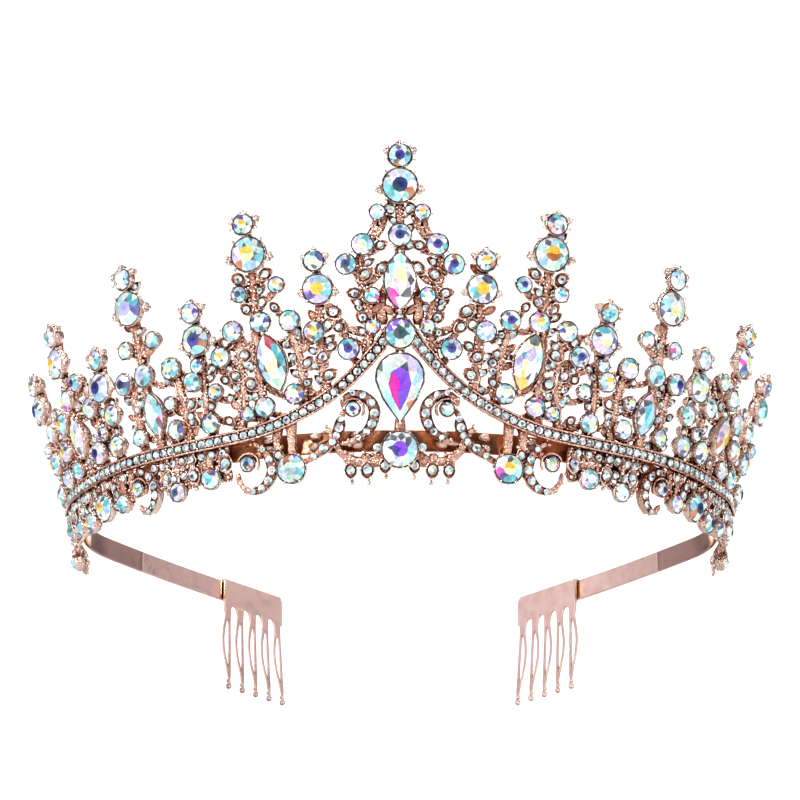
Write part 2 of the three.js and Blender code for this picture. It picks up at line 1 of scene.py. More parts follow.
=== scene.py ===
"""Bridal tiara: a flared wall of cast rose-gold filigree, set with aurora-coated crystal stones,
on a flat headband strip whose two sprung arms end in side combs.

The filigree is drawn on the wall with two numbers in millimetres: the arc, which is the distance
along the strip from the front centre, and the height above the strip's lower edge. `Wall` turns
them into places in the frame's metres. One side is drawn and the other mirrors it.
"""

import logging
import math
import random
from dataclasses import dataclass, field
from enum import Enum

import bpy
from mathutils import Matrix, Vector
from mathutils.geometry import interpolate_bezier


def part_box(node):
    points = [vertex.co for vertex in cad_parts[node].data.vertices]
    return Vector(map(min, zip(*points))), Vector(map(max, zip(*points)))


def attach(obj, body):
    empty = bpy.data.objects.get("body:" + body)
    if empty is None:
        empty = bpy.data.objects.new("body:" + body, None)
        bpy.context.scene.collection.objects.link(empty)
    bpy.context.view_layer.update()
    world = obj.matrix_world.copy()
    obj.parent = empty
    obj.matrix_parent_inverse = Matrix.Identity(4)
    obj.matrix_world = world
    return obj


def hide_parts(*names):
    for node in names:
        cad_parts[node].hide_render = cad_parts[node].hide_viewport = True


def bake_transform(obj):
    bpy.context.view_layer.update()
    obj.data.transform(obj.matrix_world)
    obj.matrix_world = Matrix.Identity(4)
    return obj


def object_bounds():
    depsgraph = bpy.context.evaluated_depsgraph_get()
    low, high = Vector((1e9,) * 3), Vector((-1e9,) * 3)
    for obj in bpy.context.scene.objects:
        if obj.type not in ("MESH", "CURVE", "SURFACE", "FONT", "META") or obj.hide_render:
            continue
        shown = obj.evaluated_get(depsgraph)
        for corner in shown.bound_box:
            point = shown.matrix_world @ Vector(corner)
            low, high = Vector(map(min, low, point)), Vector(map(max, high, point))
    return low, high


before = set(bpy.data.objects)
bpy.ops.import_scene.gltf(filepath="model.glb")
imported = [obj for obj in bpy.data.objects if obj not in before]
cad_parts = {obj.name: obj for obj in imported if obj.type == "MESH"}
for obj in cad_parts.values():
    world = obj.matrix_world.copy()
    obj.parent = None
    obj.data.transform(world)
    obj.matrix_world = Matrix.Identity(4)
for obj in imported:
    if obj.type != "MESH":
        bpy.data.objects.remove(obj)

CAD_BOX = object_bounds()
MM = 0.001
TAU = 2 * math.pi
FACET_TINT = "facet_tint"
LOG = logging.getLogger("tiara")

Point = tuple[float, float]
Stone = tuple[float, float, float]
Colour = tuple[float, float, float]
Face = tuple[int, ...]


# ------------------------------------------------------------------ the wall


@dataclass(frozen=True)
class Bend:
    """One arc of the headband's plan: its radius in millimetres and its swing in degrees."""

    radius: float
    swing: float


@dataclass(frozen=True)
class Wall:
    """The leaning wall that the filigree stands on, above the headband's plan line."""

    front: float
    base: float
    bends: tuple[Bend, ...] = (Bend(98, 15), Bend(59, 62), Bend(18, 51), Bend(370, 5.5))
    flare: float = math.radians(16)

    @classmethod
    def on_strip(cls) -> "Wall":
        """Finds the front centre and the lower edge of the strip in the frame."""
        low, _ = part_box("headband_strip")
        return cls(front=low.y, base=low.z)

    def plan(self, arc: float) -> tuple[float, float, float]:
        """Follows the plan line.

        Args:
            arc: signed distance from the front centre, in millimetres.

        Returns:
            The x and y in millimetres from the front centre, and the heading in radians.
        """
        left, heading, x, y = abs(arc), 0.0, 0.0, 0.0
        for bend in self.bends:
            run = min(left, bend.radius * math.radians(bend.swing))
            turned = heading + run / bend.radius
            x += bend.radius * (math.sin(turned) - math.sin(heading))
            y += bend.radius * (math.cos(heading) - math.cos(turned))
            heading = turned
            left -= run
        x += left * math.cos(heading)
        y += left * math.sin(heading)
        side = math.copysign(1.0, arc)
        return side * x, y, side * heading

    def axes(self, arc: float, flare: float | None = None) -> tuple[Vector, Vector, Vector]:
        """Directions at an arc.

        Args:
            arc: signed distance from the front centre.
            flare: lean of the wall in radians, or None for the wall's own.

        Returns:
            Unit vectors across the wall, up it and out of its front face.
        """
        lean = self.flare if flare is None else flare
        heading = self.plan(arc)[2]
        across = Vector((math.cos(heading), math.sin(heading), 0))
        level = Vector((math.sin(heading), -math.cos(heading), 0))
        up = level * math.sin(lean) + Vector((0, 0, math.cos(lean)))
        out = level * math.cos(lean) - Vector((0, 0, math.sin(lean)))
        return across, up, out

    def point(self, arc: float, height: float, proud: float, flare: float | None = None) -> Vector:
        """Place in metres of an arc, a height and a distance proud of the wall."""
        x, y, _ = self.plan(arc)
        _, up, out = self.axes(arc, flare)
        start = Vector((x * MM, self.front + y * MM, self.base))
        return start + up * (height * MM) + out * (proud * MM)

    def seat(self, arc: float, height: float, turn: float = 0.0) -> Matrix:
        """Frame of something set on the wall.

        Args:
            arc: signed distance from the front centre.
            height: height up the wall.
            turn: anticlockwise turn in radians, as seen from the front.

        Returns:
            A matrix from millimetres across, up and out of the wall to the frame's metres.
        """
        across, up, out = self.axes(arc)
        basis = Matrix((across, up, out)).transposed().to_4x4()
        place = Matrix.Translation(self.point(arc, height, 0))
        return place @ basis @ Matrix.Scale(MM, 4) @ Matrix.Rotation(turn, 4, "Z")


# ------------------------------------------------------------------ mesh making


def ball_template(rings: int, sides: int) -> tuple[list[Vector], list[Face]]:
    """Unit ball.

    Args:
        rings: how many rings of points lie between the poles.
        sides: points in each ring.

    Returns:
        Its points and its faces by index.
    """
    points = [Vector((0, 0, 1))]
    for ring in range(1, rings + 1):
        polar = math.pi * ring / (rings + 1)
        for side in range(sides):
            turn = TAU * side / sides
            flat = math.sin(polar)
            points.append(Vector((flat * math.cos(turn), flat * math.sin(turn), math.cos(polar))))
    points.append(Vector((0, 0, -1)))
    faces: list[Face] = []
    for side in range(sides):
        following = (side + 1) % sides
        faces.append((0, 1 + side, 1 + following))
        for ring in range(rings - 1):
            row = 1 + ring * sides
            faces.append((row + side, row + sides + side, row + sides + following, row + following))
        row = 1 + (rings - 1) * sides
        faces.append((row + side, len(points) - 1, row + following))
    return points, faces


BEAD = ball_template(4, 8)
SHELL = ball_template(9, 18)


class Sculpt:
    """Gathers closed shapes into one mesh, with a tint on every face."""

    def __init__(self) -> None:
        """Starts empty."""
        self.vertices: list[Vector] = []
        self.faces: list[Face] = []
        self.tints: list[Colour] = []

    def add(self, vertices: list[Vector], faces: list[Face], tints: list[Colour] | None = None) -> None:
        """Adds one closed shape.

        Args:
            vertices: its points in metres.
            faces: its faces, by index into vertices.
            tints: a colour for each face, or None for white.
        """
        start = len(self.vertices)
        self.vertices.extend(vertices)
        self.faces.extend(tuple(start + index for index in face) for face in faces)
        self.tints.extend(tints or [(1.0, 1.0, 1.0)] * len(faces))

    def loft(self, rings: list[list[Vector]]) -> None:
        """Adds a solid through equal rings of points, closed at both ends."""
        count = len(rings[0])
        faces: list[Face] = []
        for ring in range(len(rings) - 1):
            for corner in range(count):
                near, far = ring * count + corner, ring * count + (corner + 1) % count
                faces.append((near, far, far + count, near + count))
        last = (len(rings) - 1) * count
        faces.append(tuple(reversed(range(count))))
        faces.append(tuple(last + corner for corner in range(count)))
        self.add([point for ring in rings for point in ring], faces)

    def ball(self, place: Matrix, template: tuple[list[Vector], list[Face]] = BEAD) -> None:
        """Adds a unit ball put through a matrix."""
        points, faces = template
        self.add([place @ spot for spot in points], faces)

    def bead(self, centre: Vector, radius: float) -> None:
        """Adds a small round bead; its radius is in millimetres."""
        self.ball(Matrix.Translation(centre) @ Matrix.Scale(radius * MM, 4))

    def build(self, name: str, material: bpy.types.Material, smooth_degrees: float) -> bpy.types.Object:
        """Makes the object.

        Args:
            name: the piece's name.
            material: its material.
            smooth_degrees: edges sharper than this stay crisp; 0 leaves every facet flat.

        Returns:
            The linked object.
        """
        mesh = bpy.data.meshes.new(name)
        mesh.from_pydata(self.vertices, [], self.faces)
        layer = mesh.color_attributes.new(FACET_TINT, "FLOAT_COLOR", "CORNER")
        values: list[float] = []
        for face, tint in zip(self.faces, self.tints):
            values.extend((*tint, 1.0) * len(face))
        layer.data.foreach_set("color", values)
        mesh.materials.append(material)
        if smooth_degrees > 0:
            mesh.shade_smooth()
            mesh.set_sharp_from_angle(angle=math.radians(smooth_degrees))
        LOG.info("%s made with %d faces", name, len(self.faces))
        return link(name, mesh)


def link(name: str, mesh: bpy.types.Mesh) -> bpy.types.Object:
    """Puts a mesh in the scene as an object."""
    piece = bpy.data.objects.new(name, mesh)
    bpy.context.scene.collection.objects.link(piece)
    return piece


def beside(at: Point, along: Vector, off: float) -> Point:
    """Place off to the left of a line, or to its right if off is negative."""
    return at[0] - along.y * off, at[1] + along.x * off


def towards(at: Point, turn: float, reach: float) -> Point:
    """Place at a reach from another, in a direction in radians."""
    return at[0] + reach * math.cos(turn), at[1] + reach * math.sin(turn)


def through(points: list[Point], spacing: float) -> list[Point]:
    """Smooth line through points.

    Args:
        points: places on the wall or in a plane.
        spacing: wanted distance between the returned points.

    Returns:
        Evenly spaced points along a curve through all of them.
    """
    spots = [Vector(point) for point in points]
    padded = [spots[0] * 2 - spots[1], *spots, spots[-1] * 2 - spots[-2]]
    dense: list[Vector] = []
    for before, start, end, after in zip(padded, padded[1:], padded[2:], padded[3:]):
        lead, tail = start + (end - before) / 6, end - (after - start) / 6
        dense.extend(interpolate_bezier(start, lead, tail, end, 14)[:-1])
    dense.append(spots[-1])
    travelled = [0.0]
    for near, far in zip(dense, dense[1:]):
        travelled.append(travelled[-1] + (far - near).length)
    count = max(2, round(travelled[-1] / spacing) + 1)
    line: list[Point] = []
    cursor = 0
    for step in range(count):
        wanted = travelled[-1] * step / (count - 1)
        while cursor < len(travelled) - 2 and travelled[cursor + 1] < wanted:
            cursor += 1
        part = (wanted - travelled[cursor]) / max(travelled[cursor + 1] - travelled[cursor], 1e-9)
        spot = dense[cursor].lerp(dense[cursor + 1], part)
        line.append((spot.x, spot.y))
    return line


# ------------------------------------------------------------------ finishes


def linear(colour: Colour) -> Colour:
    """Turns a colour as seen on a screen into the linear values that shaders use."""
    return tuple(((part + 0.055) / 1.055) ** 2.4 if part > 0.04 else part / 12.92 for part in colour)


class Glow(Enum):
    """Colours that the aurora coating throws, as seen on a screen, and SHADOW, a painted shade."""

    WHITE = (0.90, 0.92, 0.92)
    ICE = (0.78, 0.90, 0.92)
    AQUA = (0.60, 0.84, 0.87)
    TURQUOISE = (0.30, 0.70, 0.76)
    SKY = (0.62, 0.77, 0.90)
    LAVENDER = (0.77, 0.74, 0.90)
    PINK = (0.90, 0.77, 0.87)
    LEMON = (0.93, 0.92, 0.70)
    GOLD = (0.90, 0.72, 0.28)
    MINT = (0.74, 0.90, 0.80)
    GREY = (0.62, 0.68, 0.70)
    SMOKE = (0.30, 0.33, 0.36)
    NAVY = (0.10, 0.16, 0.44)
    INDIGO = (0.27, 0.22, 0.60)
    VIOLET = (0.52, 0.28, 0.84)
    MAGENTA = (0.82, 0.12, 0.66)
    CRIMSON = (0.72, 0.08, 0.24)
    AMBER = (0.70, 0.42, 0.16)
    PETROL = (0.12, 0.30, 0.34)
    ROSEWOOD = (0.50, 0.22, 0.32)
    # painted shade: near black for the parts of a stone sunk in its cup
    SHADOW = (0.09, 0.08, 0.10)


def group_socket(group: bpy.types.NodeTree, name: str, output: bool, kind: str, value: object = None) -> None:
    """Adds a named socket to a node group.

    Args:
        group: the node group.
        name: the socket's name.
        output: True for an output, False for an input.
        kind: "Float", "Vector" or "Color".
        value: default for an input.
    """
    socket = group.interface.new_socket(
        name=name, in_out="OUTPUT" if output else "INPUT", socket_type=f"NodeSocket{kind}"
    )
    if value is not None:
        socket.default_value = value


class Wiring:
    """Short-hand for laying out the nodes of one tree."""

    def __init__(self, tree: bpy.types.NodeTree) -> None:
        """Works on a tree."""
        self.tree = tree

    def node(
        self, kind: str, inputs: dict[str | int, object] | None = None, **settings: object
    ) -> bpy.types.Node:
        """Adds a node.

        Args:
            kind: the node's type name without its ShaderNode prefix.
            inputs: sockets to fill, with a value or with an output socket to wire in.
            settings: properties of the node.

        Returns:
            The new node.
        """
        made = self.tree.nodes.new(kind if kind.startswith("Node") else f"ShaderNode{kind}")
        for key, value in settings.items():
            setattr(made, key, value)
        for key, value in (inputs or {}).items():
            if isinstance(value, bpy.types.NodeSocket):
                self.tree.links.new(value, made.inputs[key])
            else:
                made.inputs[key].default_value = value
        return made

    def blend(self, amount: object, first: object, second: object, mode: str = "MIX") -> bpy.types.NodeSocket:
        """Mixes two colours and returns the result."""
        inputs = {0: amount, 6: first, 7: second}
        return self.node("Mix", inputs, data_type="RGBA", blend_type=mode).outputs[2]

    def math(self, operation: str, first: object, second: object = 0.0) -> bpy.types.NodeSocket:
        """Does one sum and returns the result."""
        return self.node("Math", {0: first, 1: second}, operation=operation).outputs[0]

    def spread(
        self, value: object, low: float, high: float, to_low: float, to_high: float
    ) -> bpy.types.NodeSocket:
        """Maps one range onto another, clamped, and returns the result."""
        inputs = {0: value, 1: low, 2: high, 3: to_low, 4: to_high}
        return self.node("MapRange", inputs).outputs[0]


def grain_group() -> bpy.types.NodeTree:
    """Fine surface grain shared by every finish.

    Returns:
        A group from Size and Pitting to Height, for bump, and Mottle, for colour and gloss.
    """
    if "surface_grain" in bpy.data.node_groups:
        return bpy.data.node_groups["surface_grain"]
    group = bpy.data.node_groups.new("surface_grain", "ShaderNodeTree")
    group_socket(group, "Size", False, "Float", 0.0006)
    group_socket(group, "Pitting", False, "Float", 0.5)
    group_socket(group, "Height", True, "Float")
    group_socket(group, "Mottle", True, "Float")
    wire = Wiring(group)
    given = wire.node("NodeGroupInput")
    place = wire.node("TexCoord").outputs["Object"]
    scale = wire.math("DIVIDE", 1.0, given.outputs["Size"])
    noise = wire.node("TexNoise", {"Vector": place, "Scale": scale, "Detail": 3.0, "Roughness": 0.6})
    cells = wire.node("TexVoronoi", {"Vector": place, "Scale": scale}, feature="SMOOTH_F1")
    pits = wire.math("MULTIPLY", cells.outputs["Distance"], given.outputs["Pitting"])
    broad = wire.math("MULTIPLY", scale, 0.12)
    cloud = wire.node("TexNoise", {"Vector": place, "Scale": broad, "Detail": 2.0})
    out = wire.node("NodeGroupOutput")
    group.links.new(wire.math("ADD", noise.outputs["Fac"], pits), out.inputs["Height"])
    group.links.new(cloud.outputs["Fac"], out.inputs["Mottle"])
    return group


def wear_and_shade_group() -> bpy.types.NodeTree:
    """Colour of a plated surface, darkened in its crevices by painted shade and bright where it is rubbed.

    Returns:
        A group from Plating and Rubbed colours, two painted-shade colours for crevices and the deepest
        hollows, Shelter, Edge and Mottle to Color.
    """
    if "plating_wear_and_shade" in bpy.data.node_groups:
        return bpy.data.node_groups["plating_wear_and_shade"]
    group = bpy.data.node_groups.new("plating_wear_and_shade", "ShaderNodeTree")
    for name in ("Plating", "Crevice", "Deep Shade", "Rubbed"):
        group_socket(group, name, False, "Color", (0.8, 0.8, 0.8, 1.0))
    for name in ("Shelter", "Edge", "Mottle"):
        group_socket(group, name, False, "Float", 0.0)
    group_socket(group, "Color", True, "Color")
    wire = Wiring(group)
    given = wire.node("NodeGroupInput").outputs
    patchy = wire.spread(given["Mottle"], 0.3, 0.7, 0.0, 0.25)
    plating = wire.blend(patchy, given["Plating"], given["Crevice"])
    # Painted shade: where occlusion finds hollows, the colour darkens to the crevice colour, and deeper in to
    # the darkest shade colour.
    shallow = wire.spread(given["Shelter"], 0.1, 0.55, 0.0, 1.0)
    deep = wire.spread(given["Shelter"], 0.5, 0.85, 0.0, 1.0)
    sheltered = wire.blend(deep, wire.blend(shallow, plating, given["Crevice"]), given["Deep Shade"])
    rubbed = wire.blend(given["Edge"], sheltered, given["Rubbed"])
    group.links.new(rubbed, wire.node("NodeGroupOutput").inputs["Color"])
    return group


@dataclass(frozen=True)
class Plating:
    """Rose-gold plating over a cast or rolled surface."""

    name: str
    colour: Colour
    # The crevice colour and the darkest colour below it are painted shade, laid into hollows that occlusion
    # finds; the crevice colour also tints random patches.
    crevice: Colour
    deep_shade: Colour
    rubbed: Colour
    roughness: float
    grain: float
    bump: float
    shelter_reach: float
    metallic: float = 1.0

    def material(self) -> bpy.types.Material:
        """Builds the material, with painted shade in the crevices that occlusion finds and rubbed edges found
        by pointiness.
        """
        made = bpy.data.materials.new(self.name)
        made.use_nodes = True
        made.node_tree.nodes.clear()
        wire = Wiring(made.node_tree)
        grain = wire.node("Group", node_tree=grain_group(), inputs={"Size": self.grain})
        hidden = wire.node("AmbientOcclusion", {"Distance": self.shelter_reach}, samples=4)
        shelter = wire.spread(hidden.outputs["AO"], 0.1, 0.9, 1.0, 0.0)
        tint = wire.node("Attribute", attribute_name=FACET_TINT).outputs["Color"]
        plating = wire.blend(1.0, (*linear(self.colour), 1), tint, "MULTIPLY")
        edge = wire.spread(wire.node("NewGeometry").outputs["Pointiness"], 0.52, 0.6, 0.0, 0.7)
        wear_and_shade = wire.node("Group", node_tree=wear_and_shade_group(), inputs={
            "Plating": plating, "Crevice": (*linear(self.crevice), 1), "Deep Shade": (*linear(self.deep_shade), 1),
            "Rubbed": (*linear(self.rubbed), 1), "Shelter": shelter, "Edge": edge,
            "Mottle": grain.outputs["Mottle"],
        })
        gloss = wire.spread(grain.outputs["Mottle"], 0.3, 0.7, self.roughness * 0.75, self.roughness * 1.3)
        bump = wire.node("Bump", {"Height": grain.outputs["Height"], "Distance": self.bump, "Strength": 1.0})
        shader = wire.node("BsdfPrincipled", {
            "Base Color": wear_and_shade.outputs["Color"], "Metallic": self.metallic, "Roughness": gloss,
            "Normal": bump.outputs["Normal"],
        })
        wire.node("OutputMaterial", {"Surface": shader.outputs[0]})
        return made


@dataclass(frozen=True)
class AuroraCrystal:
    """Foil-backed glass whose facets carry the aurora coating's colours."""

    name: str
    # glow is the strength of an emission that lights the stones with no lamp: painted light.
    glow: float
    roughness: float = 0.07

    def material(self) -> bpy.types.Material:
        """Builds the material; each facet's colour is the tint painted on its face, and a faint emission
        makes it glow as painted light.
        """
        made = bpy.data.materials.new(self.name)
        made.use_nodes = True
        made.node_tree.nodes.clear()
        wire = Wiring(made.node_tree)
        tint = wire.node("Attribute", attribute_name=FACET_TINT).outputs["Color"]
        grain = wire.node("Group", node_tree=grain_group(), inputs={"Size": 0.0005, "Pitting": 0.8})
        flaws = wire.spread(grain.outputs["Height"], 0.55, 1.05, 0.72, 1.12)
        lit = wire.node("VectorMath", {0: tint, 1: flaws}, operation="MULTIPLY").outputs[0]
        edge = wire.spread(wire.node("NewGeometry").outputs["Pointiness"], 0.5, 0.62, 0.0, 0.25)
        chipped = wire.blend(edge, lit, (1.0, 1.0, 1.0, 1.0))
        gloss = wire.spread(grain.outputs["Mottle"], 0.3, 0.7, self.roughness * 0.6, self.roughness * 1.6)
        bump = wire.node("Bump", {"Height": grain.outputs["Height"], "Distance": 0.00002, "Strength": 0.4})
        # The emission makes every stone glow a little: painted light.
        shader = wire.node("BsdfPrincipled", {
            "Base Color": chipped, "Metallic": 0.25, "Roughness": gloss, "Coat Weight": 0.35,
            "Coat Roughness": 0.03, "Emission Color": chipped, "Emission Strength": self.glow,
            "Normal": bump.outputs["Normal"],
        })
        wire.node("OutputMaterial", {"Surface": shader.outputs[0]})
        return made


# In these finishes the crevice colour and the darkest colour are painted shade.
CAST_GOLD = Plating(
    name="cast_rose_gold", colour=(0.92, 0.79, 0.73), crevice=(0.65, 0.34, 0.20), deep_shade=(0.13, 0.06, 0.04),
    rubbed=(1.0, 0.95, 0.92), roughness=0.13, grain=0.00055, bump=0.00034, shelter_reach=0.0016,
)
# Band part of the strip: the same strip as the arms, shinier, and coloured more orange as painted shade and
# painted reflection of the castings.
BAND_SHADE_GOLD = Plating(
    name="band_shade_rose_gold", colour=(0.90, 0.72, 0.59), crevice=(0.60, 0.37, 0.25), deep_shade=(0.30, 0.14, 0.08),
    rubbed=(1.0, 0.90, 0.80), roughness=0.26, grain=0.0012, bump=0.00008, shelter_reach=0.003,
)
SATIN_GOLD = Plating(
    name="satin_rose_gold", colour=(0.85, 0.75, 0.735), crevice=(0.69, 0.52, 0.47), deep_shade=(0.45, 0.28, 0.24),
    rubbed=(0.95, 0.82, 0.76), roughness=0.46, grain=0.00035, bump=0.00004, shelter_reach=0.0008,
    metallic=0.75,
)
# Lines along the comb's seam: brighter and more orange than the comb, a painted highlight on that edge.
SEAM_GLINT_GOLD = Plating(
    name="seam_glint_rose_gold", colour=(0.98, 0.80, 0.60), crevice=(0.75, 0.28, 0.08), deep_shade=(0.45, 0.14, 0.04),
    rubbed=(1.0, 0.92, 0.72), roughness=0.2, grain=0.0006, bump=0.00003, shelter_reach=0.0008,
)
CRYSTAL = AuroraCrystal(name="aurora_crystal", glow=0.1)
VIOLET_CRYSTAL = AuroraCrystal(name="violet_crystal", glow=0.1)


# ------------------------------------------------------------------ stones


@dataclass(frozen=True)
class Tinting:
    """How a stone's facets are coloured."""

    ring: tuple[Glow, ...]
    table: tuple[Glow, ...]
    sparks: tuple[tuple[float, Glow], ...] = ()
    spark_width: float = 15.0

    def ring_tint(self, angle: float, rng: random.Random) -> Colour:
        """Colour of a crown facet.

        Args:
            angle: direction of the facet from the stone's middle, in degrees anticlockwise from +x.
            rng: source of the facet's own shade.

        Returns:
            A linear colour.
        """
        for at, spark in self.sparks:
            if abs((angle - at + 180) % 360 - 180) < self.spark_width:
                return shade(spark, rng, 0.1)
        share = (angle % 360) / 360 * len(self.ring)
        chosen = self.ring[int(share) % len(self.ring)]
        draw = rng.random()
        if draw < 0.22:
            chosen = Glow.WHITE
        elif draw > 0.86:
            chosen = Glow.SMOKE
        return shade(chosen, rng, 0.3)


def shade(glow: Glow, rng: random.Random, spread: float) -> Colour:
    """Linear colour of a glow, made lighter or darker at random by up to the spread."""
    factor = 1 + rng.uniform(-spread, spread * 0.5)
    return tuple(min(1.0, part * factor) for part in linear(glow.value))


PALE_RINGS = (
    (Glow.AQUA, Glow.ICE, Glow.WHITE, Glow.LAVENDER, Glow.SKY, Glow.TURQUOISE),
    (Glow.TURQUOISE, Glow.SKY, Glow.ICE, Glow.LAVENDER, Glow.LAVENDER, Glow.AQUA),
    (Glow.ICE, Glow.WHITE, Glow.AQUA, Glow.SKY, Glow.WHITE, Glow.MINT),
    (Glow.SKY, Glow.TURQUOISE, Glow.ICE, Glow.PINK, Glow.LAVENDER, Glow.WHITE),
    (Glow.AQUA, Glow.MINT, Glow.WHITE, Glow.ICE, Glow.INDIGO, Glow.TURQUOISE),
)
TABLES = (
    (Glow.LEMON, Glow.WHITE), (Glow.GOLD, Glow.LEMON), (Glow.GOLD, Glow.LEMON), (Glow.NAVY, Glow.INDIGO),
    (Glow.WHITE, Glow.LEMON), (Glow.AQUA, Glow.TURQUOISE), (Glow.MINT, Glow.LEMON), (Glow.WHITE, Glow.ICE),
    (Glow.NAVY, Glow.PETROL),
)
SPARKS = (Glow.NAVY, Glow.AMBER, Glow.INDIGO, Glow.MAGENTA, Glow.TURQUOISE, Glow.AMBER)
SEED_RINGS = (
    (Glow.GREY, Glow.ICE, Glow.WHITE, Glow.SMOKE), (Glow.AQUA, Glow.GREY, Glow.WHITE, Glow.GREY),
    (Glow.MINT, Glow.WHITE, Glow.GREY, Glow.SMOKE), (Glow.WHITE, Glow.LAVENDER, Glow.GREY, Glow.GREY),
    (Glow.WHITE, Glow.GREY, Glow.SMOKE, Glow.WHITE),
)
SEED_TABLES = (
    (Glow.WHITE,), (Glow.MINT,), (Glow.ICE,), (Glow.GREY,), (Glow.LEMON,), (Glow.GREY,), (Glow.AQUA,),
    (Glow.SMOKE,), (Glow.LAVENDER,), (Glow.WHITE,), (Glow.NAVY,), (Glow.GREY,),
)


def random_tinting(diameter: float, rng: random.Random) -> Tinting:
    """Picks a tinting for a stone of a given diameter."""
    if diameter < 2.5:
        return Tinting(ring=rng.choice(SEED_RINGS), table=rng.choice(SEED_TABLES))
    ring = list(rng.choice(PALE_RINGS))
    turn = rng.randrange(len(ring))
    sparks = tuple((rng.uniform(0, 360), rng.choice(SPARKS)) for _ in range(rng.choice((0, 1, 1, 2))))
    return Tinting(ring=tuple(ring[turn:] + ring[:turn]), table=rng.choice(TABLES), sparks=sparks)


def round_outline(diameter: float, sides: int) -> list[Point]:
    """Corners of a round stone's girdle."""
    radius = diameter / 2
    return [(radius * math.cos(TAU * k / sides), radius * math.sin(TAU * k / sides)) for k in range(sides)]


def marquise_outline(length: float, width: float, sides: int = 16) -> list[Point]:
    """Corners of a boat-shaped stone's girdle, pointed at both ends of its length."""
    radius = (length**2 / 4 + width**2 / 4) / width
    half_swing = math.asin(length / 2 / radius)
    quarter = sides // 2
    right = []
    for step in range(quarter):
        swing = -half_swing + 2 * half_swing * step / quarter
        right.append((radius * math.cos(swing) - (radius - width / 2), radius * math.sin(swing)))
    return right + [(-x, -y) for x, y in right]


def pear_outline(length: float, width: float, sides: int = 16) -> list[Point]:
    """Corners of a pear-shaped stone's girdle, with its point downward."""
    radius = width / 2
    middle = length / 2 - radius
    tip = -length / 2
    lean = math.asin(radius / (middle - tip))
    arc_sides = sides - 6
    start, swing = -lean, math.pi + 2 * lean
    points = [(0.0, tip)]
    near = (radius * math.cos(start), middle + radius * math.sin(start))
    for part in (0.36, 0.7):
        bulge = 1 + 0.16 * math.sin(math.pi * part)
        points.append((near[0] * part * bulge, tip + (near[1] - tip) * part))
    for step in range(arc_sides + 1):
        angle = start + swing * step / arc_sides
        points.append((radius * math.cos(angle), middle + radius * math.sin(angle)))
    points.extend([(-x, y) for x, y in reversed(points[1:3])])
    return points


@dataclass(frozen=True)
class Cut:
    """Proportions of a stone's crown, as shares of its outline and millimetres of height."""

    girdle: float = 3.3
    crown: float = 1.0
    table: float = 0.47
    shoulder: float = 0.74
    shoulder_rise: float = 0.55
    table_length: float = 1.0
    table_shift: float = 0.0


def set_stone(sculpt: Sculpt, place: Matrix, outline: list[Point], cut: Cut, tinting: Tinting,
              rng: random.Random) -> None:
    """Adds one faceted stone.

    Args:
        sculpt: where it goes.
        place: its frame on the wall, in millimetres.
        outline: an even number of girdle corners.
        cut: its proportions.
        tinting: its colours.
        rng: source of each facet's own shade.
    """
    sides = len(outline)
    middle = sum(y for _, y in outline) / sides

    def ring(
        scale: float, height: float, picked: range, longer: float = 1.0, shift: float = 0.0
    ) -> list[Vector]:
        """Outline corners scaled about the stone's middle, and more or less so along its length."""
        return [
            Vector((
                outline[k][0] * scale,
                middle + shift + (outline[k][1] - middle) * scale * longer,
                height,
            ))
            for k in picked
        ]

    girdle = ring(1.0, cut.girdle, range(sides))
    belt = ring(1.0, cut.girdle - 0.25, range(sides))
    keel = ring(0.6, 1.6, range(sides))
    shoulder = ring(cut.shoulder, cut.girdle + cut.crown * cut.shoulder_rise, range(1, sides, 2))
    top = cut.girdle + cut.crown
    table = ring(cut.table, top, range(0, sides, 2), cut.table_length, cut.table_shift)
    heart = ring(cut.table * 0.5, top, range(1, sides, 2), cut.table_length, cut.table_shift)
    vertices = girdle + shoulder + table + heart + belt + keel + [Vector((0, middle + cut.table_shift, top))]
    half = sides // 2
    shoulder_at, table_at, heart_at = sides, sides + half, sides + 2 * half
    belt_at, keel_at, centre = sides + 3 * half, 2 * sides + 3 * half, 3 * sides + 3 * half
    faces: list[Face] = []
    tints: list[Colour] = []

    def facet(*corners: int) -> None:
        """Crown facet, coloured by its direction from the middle."""
        spot = sum((vertices[corner] for corner in corners), Vector()) / len(corners)
        angle = math.degrees(math.atan2(spot.y - middle, spot.x))
        faces.append(corners)
        tints.append(tinting.ring_tint(angle, rng))

    for k in range(half):
        following, before = (k + 1) % half, (k - 1) % half
        facet(table_at + k, shoulder_at + k, table_at + following)
        facet(table_at + k, shoulder_at + before, 2 * k, shoulder_at + k)
        facet(shoulder_at + k, 2 * k, 2 * k + 1)
        facet(shoulder_at + k, 2 * k + 1, (2 * k + 2) % sides)
    for k in range(half):
        following, before = (k + 1) % half, (k - 1) % half
        for corners in (
            (table_at + k, table_at + following, heart_at + k),
            (table_at + k, heart_at + k, heart_at + before),
            (heart_at + before, heart_at + k, centre),
        ):
            faces.append(corners)
            tints.append(shade(tinting.table[(k * len(tinting.table)) // half], rng, 0.22))
    # The belt below the girdle is painted dark grey and the keel near black: painted shade where the stone
    # sits down in its cup.
    for k in range(sides):
        following = (k + 1) % sides
        faces.append((k, belt_at + k, belt_at + following, following))
        faces.append((belt_at + k, keel_at + k, keel_at + following, belt_at + following))
        tints.extend([linear(Glow.SMOKE.value), linear(Glow.SHADOW.value)])
    faces.append(tuple(keel_at + k for k in reversed(range(sides))))
    tints.append(linear(Glow.SHADOW.value))
    sculpt.add([place @ spot for spot in vertices], faces, tints)


# ------------------------------------------------------------------ filigree


@dataclass(frozen=True)
class CupShape:
    """Section of a stone's cup, in millimetres proud of the wall."""

    back: float = 0.5
    rim: float = 3.2
    lip: float = 0.42


